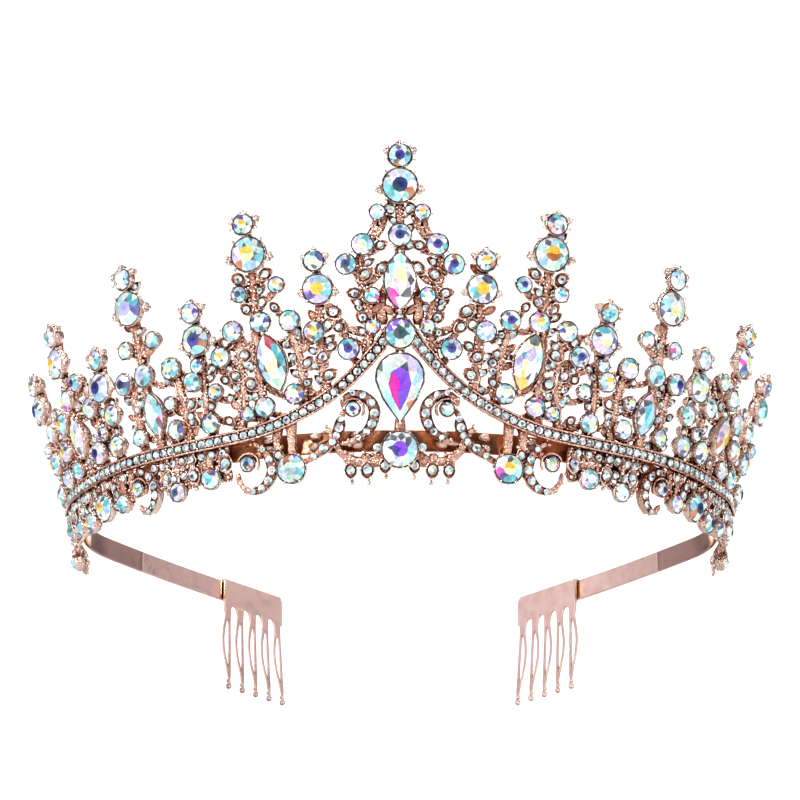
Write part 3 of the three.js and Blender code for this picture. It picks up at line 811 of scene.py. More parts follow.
@dataclass(frozen=True)
class RodShape:
    """Section of a cast rod: half width and half depth at its start and end, and how proud it runs."""

    width: float
    tip: float
    depth: float = 0.75
    proud: float = 1.35


STEM = RodShape(width=1.25, tip=0.8, depth=0.85)
SPRIG = RodShape(width=1.15, tip=0.8, depth=0.75)
TWIG = RodShape(width=0.9, tip=0.66, depth=0.6)
BRIDGE = RodShape(width=0.68, tip=0.68, depth=0.55, proud=1.2)
HOOK = RodShape(width=0.75, tip=0.5, depth=0.6, proud=1.5)
WIRE = RodShape(width=0.34, tip=0.3, depth=0.4, proud=2.0)
BORDER = RodShape(width=0.26, tip=0.26, depth=0.34, proud=2.55)
GALLERY = RodShape(width=0.38, tip=0.38, depth=0.9, proud=2.2)


@dataclass(frozen=True)
class ClawBead:
    """Bead of a clustered claw: its lean round the stone in radians, its reach and its radius."""

    lean: float
    reach: float
    radius: float


CLAW_CLUSTER = (
    ClawBead(0.0, 0.6, 0.5),
    ClawBead(-0.17, 0.25, 0.46),
    ClawBead(0.17, 0.25, 0.46),
    ClawBead(0.0, 0.1, 0.5),
)


@dataclass
class Filigree:
    """Metal and small stones of one casting, drawn on one side of the wall at a time."""

    wall: Wall
    seed: int
    metal: Sculpt = field(default_factory=Sculpt)
    stones: Sculpt = field(default_factory=Sculpt)
    seeds: Sculpt = field(default_factory=Sculpt)
    side: int = 1

    def __post_init__(self) -> None:
        """Starts the casting's own random draws."""
        self.rng = random.Random(self.seed)
        self.taken: list[Stone] = []
        self.paths: list[list[Point]] = []

    def spot(self, at: Point, proud: float) -> Vector:
        """Place in the frame of a point drawn on this side."""
        return self.wall.point(self.side * at[0], at[1], proud)

    def frame_at(self, at: Point, turn: float = 0.0) -> Matrix:
        """Frame on the wall at a point drawn on this side, turned anticlockwise in radians."""
        return self.wall.seat(self.side * at[0], at[1], self.side * turn)

    def rod(self, line: list[Point], shape: RodShape, spacing: float = 0.8, sides: int = 8) -> list[Point]:
        """Adds a rod through points.

        Args:
            line: places on the wall.
            shape: the rod's section.
            spacing: distance between sections.
            sides: corners of each section.

        Returns:
            The evenly spaced points it was drawn through.
        """
        path = through(line, spacing) if len(line) > 1 else line
        spots = [self.spot(at, shape.proud) for at in path]
        rings = []
        for index, (at, spot) in enumerate(zip(path, spots)):
            ahead, behind = spots[min(index + 1, len(spots) - 1)], spots[max(index - 1, 0)]
            out = self.wall.axes(self.side * at[0])[2]
            wide = (ahead - behind).normalized().cross(out).normalized()
            share = index / max(1, len(spots) - 1)
            width = (shape.width + (shape.tip - shape.width) * share) * MM
            ends = 0.55 if index in (0, len(spots) - 1) else 1.0
            knobbly = 1 + self.rng.uniform(-0.1, 0.1)
            ring = []
            for corner in range(sides):
                angle = TAU * corner / sides
                reach = wide * (math.cos(angle) * width) + out * (math.sin(angle) * shape.depth * MM)
                ring.append(spot + reach * ends * knobbly)
            rings.append(ring)
        self.metal.loft(rings)
        return path

    def granules(self, path: list[Point], shape: RodShape, step: int = 2) -> None:
        """Scatters cast granules along both edges of a rod.

        Args:
            path: evenly spaced places along the rod.
            shape: the rod's section.
            step: how many places apart they come.
        """
        for index in range(0, len(path) - 1, step):
            near, far = path[index], path[index + 1]
            along = (Vector(far) - Vector(near)).normalized()
            width = shape.width + (shape.tip - shape.width) * index / len(path)
            for edge in (-1, 1):
                off = width * self.rng.uniform(0.35, 1.05) * edge
                radius = self.rng.uniform(0.26, 0.46)
                lift = 0.3
                if abs(off) < width:
                    lift = shape.depth * math.sqrt(max(0.1, 1 - (off / width) ** 2))
                self.metal.bead(self.spot(beside(near, along, off), shape.proud + lift), radius)

    def cup(self, at: Point, outline: list[Point], turn: float = 0.0, shape: CupShape = CupShape()) -> None:
        """Adds a tapering cup round a stone's outline."""
        place = self.frame_at(at, turn)
        rings = []
        stages = (
            (0.62, 0.0, shape.back), (0.8, 0.25, 1.2), (1.0, shape.lip, 2.2),
            (1.0, shape.lip, shape.rim - 0.12), (1.0, shape.lip * 0.6, shape.rim + 0.12),
            (1.0, 0.12, shape.rim), (0.96, 0.0, 2.5),
        )
        for scale, grow, proud in stages:
            ring = []
            for x, y in outline:
                reach = math.hypot(x, y)
                factor = scale + grow / max(reach, 0.1)
                ring.append(place @ Vector((x * factor, y * factor, proud)))
            rings.append(ring)
        self.metal.loft(rings)

    def claws(
        self, at: Point, reach: float, angles: tuple[float, ...], radius: float, proud: float = 3.4
    ) -> None:
        """Adds claw beads round a stone at angles in degrees."""
        for angle in angles:
            turn = math.radians(angle)
            self.metal.bead(self.spot(towards(at, turn, reach), proud), radius)
            foot = towards(at, turn, reach + radius * 0.5)
            self.metal.bead(self.spot(foot, proud - radius * 1.3), radius * 0.9)

    def crown_claws(self, stone: Stone, angles: tuple[float, ...]) -> None:
        """Adds clustered claws round the rim of a finial's cup, with a rod between close neighbours.

        Args:
            stone: the finial's stone.
            angles: where the claws stand round it, in degrees.
        """
        gallery: list[Point] = []
        for angle in angles:
            turn = math.radians(angle)
            for claw in CLAW_CLUSTER:
                at = towards(stone[:2], turn + claw.lean, stone[2] / 2 + claw.reach)
                self.metal.bead(self.spot(at, 2.9), claw.radius)
                self.metal.bead(self.spot(at, 2.1), claw.radius)
            gallery.append(towards(stone[:2], turn, stone[2] / 2 + 0.3))
        for near, far in zip(gallery, gallery[1:]):
            if math.hypot(near[0] - far[0], near[1] - far[1]) < stone[2]:
                self.rod([near, far], GALLERY, 0.8, 6)

    def leaf(self, at: Point, angle: float, length: float, width: float, stone: float = 0.0,
             proud: float = 2.1) -> None:
        """Adds a pointed leaf, dished, with a small stone in it if asked.

        Args:
            at: the leaf's middle.
            angle: direction of its tip in radians, anticlockwise from increasing arc.
            length: from end to end.
            width: across its middle.
            stone: diameter of the stone in it, or 0.
            proud: height of its edge above the wall.
        """
        place = self.frame_at(at, angle - math.pi / 2)
        outline = marquise_outline(length, width, 12)
        stages = ((0.6, 0.6), (0.92, proud - 0.6), (1.0, proud), (0.86, proud + 0.16), (0.66, proud - 0.15))
        self.metal.loft([
            [place @ Vector((x * scale, y * scale, height)) for x, y in outline] for scale, height in stages
        ])
        if stone > 0:
            self.small_stone(at, stone, girdle=proud + 0.25)

    def small_stone(self, at: Point, diameter: float, girdle: float, tinting: Tinting | None = None,
                    into: Sculpt | None = None) -> None:
        """Adds a round stone of up to a few millimetres to the casting's own stones."""
        sides = 16 if diameter > 2.5 else 8
        cut = Cut(girdle=girdle, crown=min(0.8, diameter * 0.22))
        chosen = tinting or random_tinting(diameter, self.rng)
        place = self.frame_at(at, self.rng.uniform(0, 0.7))
        set_stone(into or self.stones, place, round_outline(diameter, sides), cut, chosen, self.rng)

    def is_clear(self, at: Point, gap: float) -> bool:
        """Tells whether a place keeps a gap from every stone already planned."""
        return all(math.hypot(at[0] - x, at[1] - y) > d / 2 + gap for x, y, d in self.taken)

    def nearest(self, stone: Stone) -> Point:
        """Finds the place on a stem from which a stone's twig grows."""
        def cost(spot: Point) -> float:
            """Distance from a place a little below the stone."""
            return math.hypot(spot[0] - stone[0], spot[1] - (stone[1] - abs(spot[0] - stone[0]) * 0.7))

        return min((spot for path in self.paths for spot in path), key=cost)

    def field_stone(self, stone: Stone, tinting: Tinting | None = None) -> None:
        """Adds a round stone, its cup or leaf, and the twig that carries it."""
        arc, height, diameter = stone
        at = (arc, height)
        root = self.nearest(stone)
        gap = math.hypot(root[0] - arc, root[1] - height)
        if gap > diameter * 0.35:
            middle = ((root[0] + arc) / 2 + (arc - root[0]) * 0.12, (root[1] + height) / 2 - gap * 0.1)
            path = self.rod([root, middle, at], TWIG, 0.7, 6)
            self.granules(path, TWIG, 2)
        if diameter < 2.5:
            away = math.atan2(height - root[1], arc - root[0]) if gap > 0.6 else self.rng.uniform(0.5, 2.6)
            self.leaf(at, away, diameter * 1.95, diameter * 1.3, diameter * 0.8, proud=2.3)
            return
        self.cup(at, round_outline(diameter, 16), shape=CupShape(rim=3.0, lip=0.3))
        spin = self.rng.uniform(0, 90)
        self.claws(at, diameter / 2 + 0.12, tuple(spin + 90 * k for k in range(4)), 0.24, 3.2)
        self.small_stone(at, diameter, 3.1, tinting)

    def lace(self, heights: tuple[float, ...]) -> None:
        """Bridges neighbouring stems with sagging rods.

        Args:
            heights: how far up the wall the bridges come.
        """
        stems = sorted(self.paths[1:], key=lambda path: path[0][0])
        for near, far in zip(stems, stems[1:]):
            for height in heights:
                lift = height + self.rng.uniform(-1.2, 1.2)
                start = min(near, key=lambda at: abs(at[1] - lift))
                end = min(far, key=lambda at: abs(at[1] - lift - 1.5))
                if abs(start[1] - lift) > 1 or abs(end[1] - lift - 1.5) > 1 or end[0] - start[0] > 11:
                    continue
                sag = self.rng.uniform(1.0, 2.2)
                middle = ((start[0] + end[0]) / 2, (start[1] + end[1]) / 2 - sag)
                path = self.rod([start, middle, end], BRIDGE, 0.7, 6)
                self.granules(path, BRIDGE, 2)
                for share in (0.3, 0.68):
                    at = path[int(len(path) * share)]
                    if self.is_clear(at, 0.8):
                        self.leaf(at, self.rng.uniform(1.0, 2.2), 2.6, 1.6, 1.25, proud=2.0)

    def leafy(self, path: list[Point], start: int, pitch: int, length: float) -> None:
        """Grows leaves from alternate sides of a stem.

        Args:
            path: evenly spaced places along the stem.
            start: how many places up the first leaf grows.
            pitch: how many places apart they come.
            length: of each leaf.
        """
        edge = self.rng.choice((-1, 1))
        for index in range(start, len(path) - 1, pitch):
            edge = -edge
            along = Vector(path[index + 1]) - Vector(path[index])
            angle = math.atan2(along.y, along.x) + edge * self.rng.uniform(0.6, 1.0)
            size = length * self.rng.uniform(0.85, 1.15)
            at = towards(path[index], angle, size * 0.5 + 0.25)
            if self.is_clear(at, 0.5):
                stone = self.rng.choice((0.0, 1.25, 1.4))
                self.leaf(at, angle, size, size * 0.5, stone, proud=self.rng.uniform(1.7, 2.2))

    def pieces(self, name: str, metal: bpy.types.Material, crystal: bpy.types.Material) -> None:
        """Makes the casting's objects and puts them on the band.

        Args:
            name: the casting's name.
            metal: its metal.
            crystal: its stones' material.
        """
        cast = self.metal.build(f"{name}_metalwork", metal, 40)
        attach(cast, "band")
        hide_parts(name)
        for kind, sculpt in (("small_stones", self.stones), ("seed_stones", self.seeds)):
            if sculpt.faces:
                gems = sculpt.build(f"{name}_{kind}", crystal, 0)
                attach(gems, "band")


# ------------------------------------------------------------------ rail and scrolls


@dataclass(frozen=True)
class Rail:
    """Seed-set rail that rises to a peak at the front centre."""

    line: tuple[Point, ...] = (
        (0, 26.4), (2.2, 23.2), (4.5, 19.8), (9.4, 14.4), (15, 10.1), (21, 7.2), (27.5, 5.2),
        (35, 4.4), (45, 4.4), (56, 5), (67, 5.6), (76, 5.9), (84, 6.6), (90.5, 6),
    )
    half_width: float = 1.12
    seed: float = 1.66
    pitch: float = 1.84

    def stretch(self, start: float, end: float, spacing: float) -> list[Point]:
        """Evenly spaced places along the rail's middle between two arcs, both ends included."""
        inside = [at for at in through(list(self.line), 0.25) if start <= at[0] <= end]
        return through(inside[::2] + inside[-1:], spacing)

    def height(self, arc: float) -> float:
        """Height of the rail's middle at an arc."""
        return min(through(list(self.line), 0.5), key=lambda at: abs(at[0] - arc))[1]

    def lay(self, work: Filigree, start: float, end: float) -> None:
        """Lays the rail between two arcs of one side.

        Args:
            work: the casting it belongs to.
            start: smaller arc.
            end: greater arc.
        """
        path = self.stretch(start, end, 0.9)
        edges: dict[int, list[Point]] = {-1: [], 1: []}
        rings = []
        for index, at in enumerate(path):
            ahead, behind = path[min(index + 1, len(path) - 1)], path[max(index - 1, 0)]
            along = (Vector(ahead) - Vector(behind)).normalized()
            ring = []
            section = ((-1.2, 0.6), (-1.2, 2.35), (-0.9, 2.35), (-0.85, 1.95), (0.85, 1.95), (0.9, 2.35),
                       (1.2, 2.35), (1.2, 0.6))
            for across, proud in section:
                ring.append(work.spot(beside(at, along, across), proud))
            rings.append(ring)
            for edge in (-1, 1):
                edges[edge].append(beside(at, along, edge * self.half_width))
        work.metal.loft(rings)
        for edge in (-1, 1):
            work.rod(edges[edge], BORDER, 0.8, 6)
        seats = self.stretch(start, end, self.pitch)[: None if end > 90 else -1]
        for near, far in zip(seats, seats[1:]):
            along = (Vector(far) - Vector(near)).normalized()
            between = ((near[0] + far[0]) / 2, (near[1] + far[1]) / 2)
            for edge in (-1, 1):
                at = beside(between, along, edge * 0.68)
                work.metal.bead(work.spot(at, 2.5), 0.27)
        for at in seats:
            work.small_stone(at, self.seed, 2.45, into=work.seeds)
            work.taken.append((at[0], at[1], 2.2))


@dataclass(frozen=True)
class Fringe:
    """Net of rods, leaves and small stones in the space under a length of the rail."""

    start: float
    end: float
    floor: float
    pitch: float = 2.3

    def lay(self, work: Filigree, rail: Rail) -> None:
        """Hangs the net from the rail on one side.

        Args:
            work: the casting it belongs to.
            rail: the rail it hangs from.
        """
        count = max(2, round((self.end - self.start) / self.pitch))
        rim: list[Point] = []
        for step in range(count + 1):
            arc = self.start + (self.end - self.start) * step / count
            foot = (arc, self.floor + work.rng.uniform(-0.5, 0.5))
            top = (arc + work.rng.uniform(-1.2, 1.2), rail.height(arc) - 0.8)
            waist = (arc + work.rng.uniform(-1, 1), (top[1] + foot[1]) / 2)
            rim.append(foot)
            work.granules(work.rod([top, waist, foot], TWIG, 0.8, 6), TWIG, 2)
            for share in (0.3, 0.75):
                at = (arc + work.rng.uniform(0.9, 1.5), foot[1] + (top[1] - foot[1]) * share)
                if work.is_clear(at, 0.9):
                    work.leaf(at, work.rng.uniform(0, math.pi), 2.8, 2, 1.5, proud=2.1)
        work.granules(work.rod(rim, BRIDGE, 0.7, 6), BRIDGE, 1)


@dataclass(frozen=True)
class Scroll:
    """Crescent of seed stones that curls round an eye stone."""

    seeds: tuple[Point, ...]
    eye: Stone | None
    lead: tuple[Point, ...] = ()
    tail: tuple[Point, ...] = ()

    @staticmethod
    def swell(index: int, count: int) -> float:
        """Relative width of the crescent at one of its places, widest half way."""
        return 0.62 + 0.48 * math.sin(math.pi * (index + 0.5) / count)

    def lay(self, work: Filigree) -> None:
        """Builds the scroll on one side."""
        path = through(list(self.seeds), 0.7)
        spots = [Vector(at) for at in path]
        rings = []
        for index, spot in enumerate(spots):
            along = (spots[min(index + 1, len(spots) - 1)] - spots[max(index - 1, 0)]).normalized()
            swell = self.swell(index, len(spots))
            ring = []
            section = ((-1.0, 0.7), (-1.12, 2.0), (-0.95, 2.45), (-0.7, 2.1), (0.7, 2.1), (0.95, 2.45),
                       (1.12, 2.0), (1.0, 0.7))
            for across, proud in section:
                ring.append(work.spot(beside((spot.x, spot.y), along, across * swell), proud))
            rings.append(ring)
        work.metal.loft(rings)
        for index, at in enumerate(self.seeds):
            size = 1.7 * self.swell(index, len(self.seeds))
            work.small_stone(at, size, 2.5, into=work.seeds)
            work.taken.append((at[0], at[1], 2.2))
        for line in (self.lead, self.tail):
            if line:
                path = work.rod(list(line), HOOK, 0.7)
                work.granules(path, HOOK, 3)
        if self.eye:
            arc, height, diameter = self.eye
            work.cup((arc, height), round_outline(diameter, 16), shape=CupShape(rim=2.6, lip=0.34))
            work.small_stone((arc, height), diameter, 2.75)
            nearest = min(self.seeds, key=lambda at: math.hypot(at[0] - arc, at[1] - height))
            work.rod([nearest, (arc, height)], TWIG, 0.7, 6)
            hoop = [
                towards((arc, height), math.radians(degrees), diameter * 0.78)
                for degrees in range(20, 240, 20)
            ]
            work.rod(hoop, WIRE, 0.6, 6)


# ------------------------------------------------------------------ the pattern of the crown


@dataclass(frozen=True)
class Finial:
    """Tall stem with a large stone near its top and a small one above it."""

    large: Stone
    small: Stone
    foot: Point

    def stem(self) -> list[Point]:
        """Line of the stem from its foot on the rail to the small stone."""
        half_way = (self.foot[1] + self.large[1]) / 2
        return [self.foot, (self.large[0], half_way), self.large[:2], self.small[:2]]

    def lay(self, work: Filigree) -> None:
        """Builds the stem, both cups and their claws on one side."""
        path = work.rod(self.stem(), STEM)
        work.paths.append(path)
        work.granules(path, STEM, 1)
        for stone in (self.large, self.small):
            work.cup(stone[:2], round_outline(stone[2], 20))
            work.taken.append(stone)
        work.claws(self.small[:2], self.small[2] / 2 + 0.2, (45, 135, 200, 340), 0.3)
        work.claws(self.large[:2], self.large[2] / 2 + 0.2, (50, 130, 230, 310), 0.34)
        work.crown_claws(self.small, (90, 28, 152))
        work.crown_claws(self.large, (-12, 192))
        work.leafy(path, 3, 2, 3.3)


@dataclass(frozen=True)
class Fancy:
    """Marquise or pear stone in its own cup."""

    node: str
    at: Point
    length: float
    width: float
    lean: float = 0.0
    pear: bool = False

    def outline(self, sides: int) -> list[Point]:
        """Girdle of the stone."""
        maker = pear_outline if self.pear else marquise_outline
        return maker(self.length, self.width, sides)

    def lay(self, work: Filigree) -> None:
        """Builds the cup and its end claws on one side."""
        turn = -math.radians(self.lean)
        work.cup(self.at, self.outline(20), turn)
        reach = self.length / 2 + 0.25
        for end in (-1, 1):
            at = (self.at[0] - math.sin(turn) * reach * end, self.at[1] + math.cos(turn) * reach * end)
            work.metal.bead(work.spot(at, 3.2), 0.42)
        for share in (-0.5, 0.0, 0.5):
            work.taken.append((
                self.at[0] - math.sin(turn) * share * self.length * 0.6,
                self.at[1] + math.cos(turn) * share * self.length * 0.6, self.width,
            ))


@dataclass(frozen=True)
class Section:
    """What one casting carries on one side of the tiara."""

    finials: tuple[int, ...]
    sprays: tuple[tuple[Point, ...], ...]
    stones: tuple[Stone, ...]
    fancies: tuple[int, ...]
    scrolls: tuple[Scroll, ...]
    drops: tuple[Stone, ...]
    rail: tuple[float, float]
    fringes: tuple[Fringe, ...] = ()


FINIALS = (
    Finial((0, 53.3, 6.8), (0, 59.4, 4.5), (0, 26.4)),
    Finial((14.8, 32.7, 5.8), (15.3, 38.5, 3.9), (14, 10.8)),
    Finial((27, 41.1, 6.8), (27.5, 47.3, 4.1), (26.6, 5.4)),
    Finial((38, 25.4, 5.8), (38.4, 31.2, 3.9), (37.2, 4.4)),
    Finial((51, 35.7, 6.8), (51.2, 42, 4.2), (49.2, 4.6)),
    Finial((61.6, 22.4, 5.8), (61.4, 28.3, 4), (61, 5.3)),
    Finial((74, 32.8, 6), (73.6, 38.6, 4), (71.6, 5.8)),
    Finial((88.2, 28.6, 5.6), (88, 34.2, 4), (85.5, 6.7)),
)
FANCIES = (
    Fancy("centre_marquise", (0, 33.9), 11.6, 6.2),
    Fancy("marquise_1", (24, 18.6), 12, 5.6, 13),
    Fancy("marquise_2", (49, 12.7), 9.2, 4.6, 8),
    Fancy("marquise_3", (71.8, 15.4), 8.4, 4.2, 9),
)
PEAR = Fancy("centre_pear", (0, 12.3), 13.8, 9.4, pear=True)
HEART_ROUND = (0, 23.2, 5.8)
BOTTOM_ROUND = (0, -0.1, 7)
MARQUISE_ROOM = ((0, 31, 5.6), (0, 37, 5.6))
DROP_ROUNDS = ((21.4, -3.1, 5.6), (68, -1.5, 5.4))

CENTRE = Section(
    finials=(),
    sprays=(((6.4, 17.6), (5.6, 27), (7.4, 36), (6.6, 41.5)),),
    stones=(
        (2, 48.8, 1.6), (3.9, 47.9, 3), (3.4, 41.2, 1.8), (6.6, 41.4, 4.2), (3.2, 36.6, 2.2),
        (6.2, 35.3, 2.2), (9.6, 37.5, 4), (8.2, 31.6, 2), (5, 31, 3), (7.4, 28.6, 1.4), (6.8, 26.6, 2),
        (5, 24.7, 2.8), (9.5, 20.3, 4.1), (11.2, 24.9, 1.9), (12.2, 28.1, 2.4),
    ),
    fancies=(),
    scrolls=(
        Scroll(
            seeds=((9, 11.5), (7.1, 11), (5.5, 9.4), (4.9, 7.3), (5.4, 5.2), (6.5, 3.6), (8.1, 2.5)),
            eye=(9, 8.2, 2.7),
            lead=((9, 11.5), (10.6, 10.6), (11.3, 9)),
            tail=((8.1, 2.5), (10, 1.6), (12, 1.4)),
        ),
        Scroll(
            seeds=((11.4, 6.4), (11.8, 4.6), (12.4, 3)),
            eye=None,
            lead=((10.6, 8.2), (11.2, 7.4), (11.4, 6.4)),
            tail=((12.4, 3), (12.6, 1.6), (11.6, 0)),
        ),
    ),
    drops=((2.9, -3.3, 2), (6.4, -4.1, 2.3), (9.7, -4.1, 2.1)),
    rail=(0, 12.35),
)
FRONT = Section(
    finials=(1, 2, 3, 4),
    sprays=(
        ((18.4, 8.4), (18.6, 16), (20, 24), (20.4, 27)),
        ((31.6, 4.8), (30.2, 12), (30.4, 20), (30.2, 25.8)),
        ((42.6, 4.4), (42.8, 12), (43.9, 21)),
        ((53.8, 4.9), (54, 12), (54.8, 20.8)),
    ),
    stones=(
        (15.8, 24.2, 4), (13.4, 25.4, 2.2), (14.4, 19, 2.2), (12.8, 21, 1.7), (13.4, 15.3, 2.2),
        (17.4, 18, 1.9), (17.6, 14, 1.6), (20.3, 26.8, 4), (20, 11.9, 3.9), (22.4, 34.3, 3.1),
        (24.4, 36.8, 2), (29.2, 36.3, 2.2), (23, 29.8, 1.6), (25.4, 31.1, 2), (28.2, 30, 1.8),
        (25.8, 27, 4), (29.2, 33.2, 3.1), (31, 25.9, 4), (26, 9.8, 3.9), (29.2, 20.8, 2.3),
        (28.4, 14.8, 2.3), (31.2, 16.8, 2), (29.4, 8.8, 2.8), (33.3, 16.4, 1.6), (33.3, 8, 1.6),
        (32.6, 23.9, 2), (33.7, 21.1, 3.9), (35.4, 14.3, 3), (37.1, 8.1, 3.8), (36.6, 11.5, 1.6),
        (38.5, 20.3, 2.7), (39.8, 17.2, 3.8), (40.9, 12.9, 2.1), (44, 21, 4.2), (45.2, 14, 2.6),
        (44.6, 8.4, 3.8), (47, 27.8, 3.3), (50.2, 21.2, 4.4), (53.5, 27.5, 3.4), (53.6, 9, 3.3),
        (55.4, 20.9, 4.3),
    ),
    fancies=(1, 2),
    scrolls=(
        Scroll(
            seeds=((13.2, 1.8), (15, 0.6), (17, -0.8)),
            eye=None,
            lead=((14.6, 4.6), (13.3, 3.6), (13.2, 1.8)),
            tail=((17, -0.8), (18.6, -1.6), (21, -2.6)),
        ),
        Scroll(
            seeds=((27.2, 1.4), (26, -0.8), (25.6, -3), (26.4, -5), (27.9, -6.4), (29.7, -6.9)),
            eye=(30.4, -1.2, 2.8),
            lead=((29.4, 3), (28.6, 2.6), (27.2, 1.4)),
            tail=((29.7, -6.9), (31.6, -6.2), (32.8, -4.4), (32.9, -2.6)),
        ),
        Scroll(
            seeds=((55.3, 2.2), (53.6, 0.8), (52.7, -1.2), (52.8, -3.2), (53.7, -5), (55.2, -6.1)),
            eye=(57, -0.9, 2.9),
            lead=((57.2, 3.4), (56.4, 3), (55.3, 2.2)),
            tail=((55.2, -6.1), (57, -5.6), (58.2, -4)),
        ),
    ),
    drops=(
        (38.4, -3, 4), (46.4, -4.2, 3.6), (35, -0.4, 2.4), (42.4, -1.6, 2.4), (24, -0.2, 1.8),
        (48.6, -0.6, 2.2),
    ),
    rail=(12.35, 57.98),
    fringes=(Fringe(34.5, 50.5, -3.2),),
)
END = Section(
    finials=(5, 6, 7),
    sprays=(
        ((66.2, 5.6), (66, 12), (66.2, 19.5), (69, 26.4)),
        ((78.6, 6), (78.6, 12), (77.4, 20.5)),
    ),
    stones=(
        (60, 15.8, 4.2), (60.2, 9.2, 4.2), (63.6, 13, 2.8), (66.2, 9.8, 4.6), (66.2, 19.6, 4.1),
        (69, 26.4, 3.5), (73.6, 24.2, 4.2), (77.4, 20.5, 4.5), (75.2, 9.2, 3.8), (78.8, 14.9, 4.4),
        (80.6, 9.4, 4.2), (86.2, 15.2, 4.8), (84.2, 21.4, 4), (87.3, 8.6, 4), (82.4, 14, 2.2),
        (70, 21.4, 2.2), (80.8, 24, 2.4), (64, 24, 2.2), (89.4, 19.6, 3),
    ),
    fancies=(3,),
    scrolls=(
        Scroll(seeds=((64.4, 1.8), (63.9, -0.2), (64.6, -2.2)), eye=None, lead=((66.6, 3), (64.4, 1.8))),
        Scroll(seeds=((71.6, 2.4), (72.4, 0.4), (73.6, -1)), eye=None, lead=((70.6, 4), (71.6, 2.4))),
    ),
    drops=((61.8, -2.6, 3.6), (75, -2.4, 4), (81, -1.6, 3.6), (87.2, 0, 3.4), (78, 1.2, 2), (84, 2, 2.2)),
    rail=(57.98, 90.5),
    fringes=(Fringe(60, 65.6, -2.6), Fringe(71, 92.5, -1.8)),
)


def lay_section(work: Filigree, section: Section, rail: Rail) -> None:
    """Builds one section of the pattern on one side.

    Args:
        work: the casting, already set to its side.
        section: what it carries.
        rail: the rail it stands on.
    """
    work.taken = [(*PEAR.at, PEAR.width), HEART_ROUND, BOTTOM_ROUND, *MARQUISE_ROOM]
    work.taken += [stone for stone in section.stones if stone[2] > 1.4]
    work.paths = [rail.stretch(*section.rail, 1.5)]
    rail.lay(work, *section.rail)
    for number in section.fancies:
        FANCIES[number].lay(work)
    for number in section.finials:
        FINIALS[number].lay(work)
    for spray in section.sprays:
        path = work.rod(list(spray), SPRIG)
        work.paths.append(path)
        work.granules(path, SPRIG, 1)
        work.leafy(path, 2, 2, 3.2)
    work.lace((8.5, 13.5, 19, 24.5))
    for stone in section.stones:
        work.field_stone(stone)
    for scroll in section.scrolls:
        scroll.lay(work)
    work.taken += [stone for stone in section.drops if stone[2] > 2.5]
    work.taken += DROP_ROUNDS
    for fringe in section.fringes:
        fringe.lay(work, rail)
    for drop in section.drops:
        hang_drop(work, drop, rail)
    for stone in DROP_ROUNDS:
        if section.rail[0] < stone[0] < section.rail[1]:
            hang_cup(work, stone, rail)


def hang_drop(work: Filigree, drop: Stone, rail: Rail) -> None:
    """Hangs a small stone under the rail, with a bead at its tip."""
    arc, height, diameter = drop
    top = rail.height(arc) if height > -1 or arc > 14 else -0.6
    path = work.rod([(arc, top), (arc + 0.4, (top + height) / 2), (arc, height)], SPRIG)
    work.granules(path, SPRIG, 2)
    if diameter > 2.5:
        work.cup((arc, height), round_outline(diameter, 16), shape=CupShape(rim=3.0, lip=0.3))
        work.small_stone((arc, height), diameter, 3.1)
        work.claws((arc, height), diameter / 2 + 0.15, (45, 135, 225, 315), 0.24, 3.2)
    else:
        work.leaf((arc, height), -math.pi / 2, diameter * 1.8, diameter * 1.3, diameter * 0.85, proud=2.4)
        work.metal.bead(work.spot((arc - 0.2, height - diameter - 0.3), 2.2), 0.5)
        work.metal.bead(work.spot((arc - 0.2, height - diameter * 0.75), 2.1), 0.4)


def hang_cup(work: Filigree, stone: Stone, rail: Rail) -> None:
    """Hangs the cup of one of the larger rounds under the rail."""
    arc, height, diameter = stone
    work.rod([(arc, rail.height(arc)), (arc, height)], STEM)
    work.cup((arc, height), round_outline(diameter, 20))
    work.claws((arc, height), diameter / 2 + 0.2, (60, 120, 240, 300), 0.3)


class CentreCasting:
    """Middle casting: both halves of the rail's peak, the pear and all that stands on the centre line."""

    def __init__(self, wall: Wall, rail: Rail) -> None:
        """Takes the wall and the rail it shares with its neighbours."""
        self.work = Filigree(wall, seed=11)
        self.rail = rail

    def build(self, metal: bpy.types.Material, crystal: bpy.types.Material) -> None:
        """Builds both halves and the centre line."""
        work = self.work
        for side in (1, -1):
            work.side = side
            lay_section(work, CENTRE, self.rail)
            work.rod([(0.6, -1.6), (3.4, -2.3), (6.4, -2.4), (9.6, -1.9), (12, 0.2), (12.4, 2.4)], SPRIG)
            work.rod([(0.4, 2.6), (2.6, 0.2), (4.4, -1.2), (6, -2.2)], TWIG)
            work.small_stone((4.4, 0.4), 1.7, 2.3)
            work.rod([(3.2, 25.2), (3.5, 29.4), (2.2, 33.8), (0, 40)], SPRIG)
            work.rod([(1.2, 27.4), (2.6, 28.6), (5.4, 29.2)], TWIG)
        work.side = 1
        FINIALS[0].lay(work)
        FANCIES[0].lay(work)
        PEAR.lay(work)
        for stone in (HEART_ROUND, BOTTOM_ROUND):
            work.cup(stone[:2], round_outline(stone[2], 20))
        work.rod([BOTTOM_ROUND[:2], PEAR.at], STEM)
        work.rod([PEAR.at, HEART_ROUND[:2]], SPRIG)
        work.claws(BOTTOM_ROUND[:2], BOTTOM_ROUND[2] / 2 + 0.15, (60, 120, 240, 300), 0.3)
        work.field_stone((0, 43.2, 4.4), Tinting((Glow.SKY, Glow.LAVENDER, Glow.ICE), (Glow.NAVY, Glow.NAVY)))
        for arc in (-1.6, 1.6):
            work.leaf((arc, 48.4), math.pi / 2, 2.6, 1.9, 1.5, proud=2.6)
        work.leaf((0, 27.6), math.pi / 2, 2.2, 1.3, 0.8)
        work.pieces("centre_casting", metal, crystal)


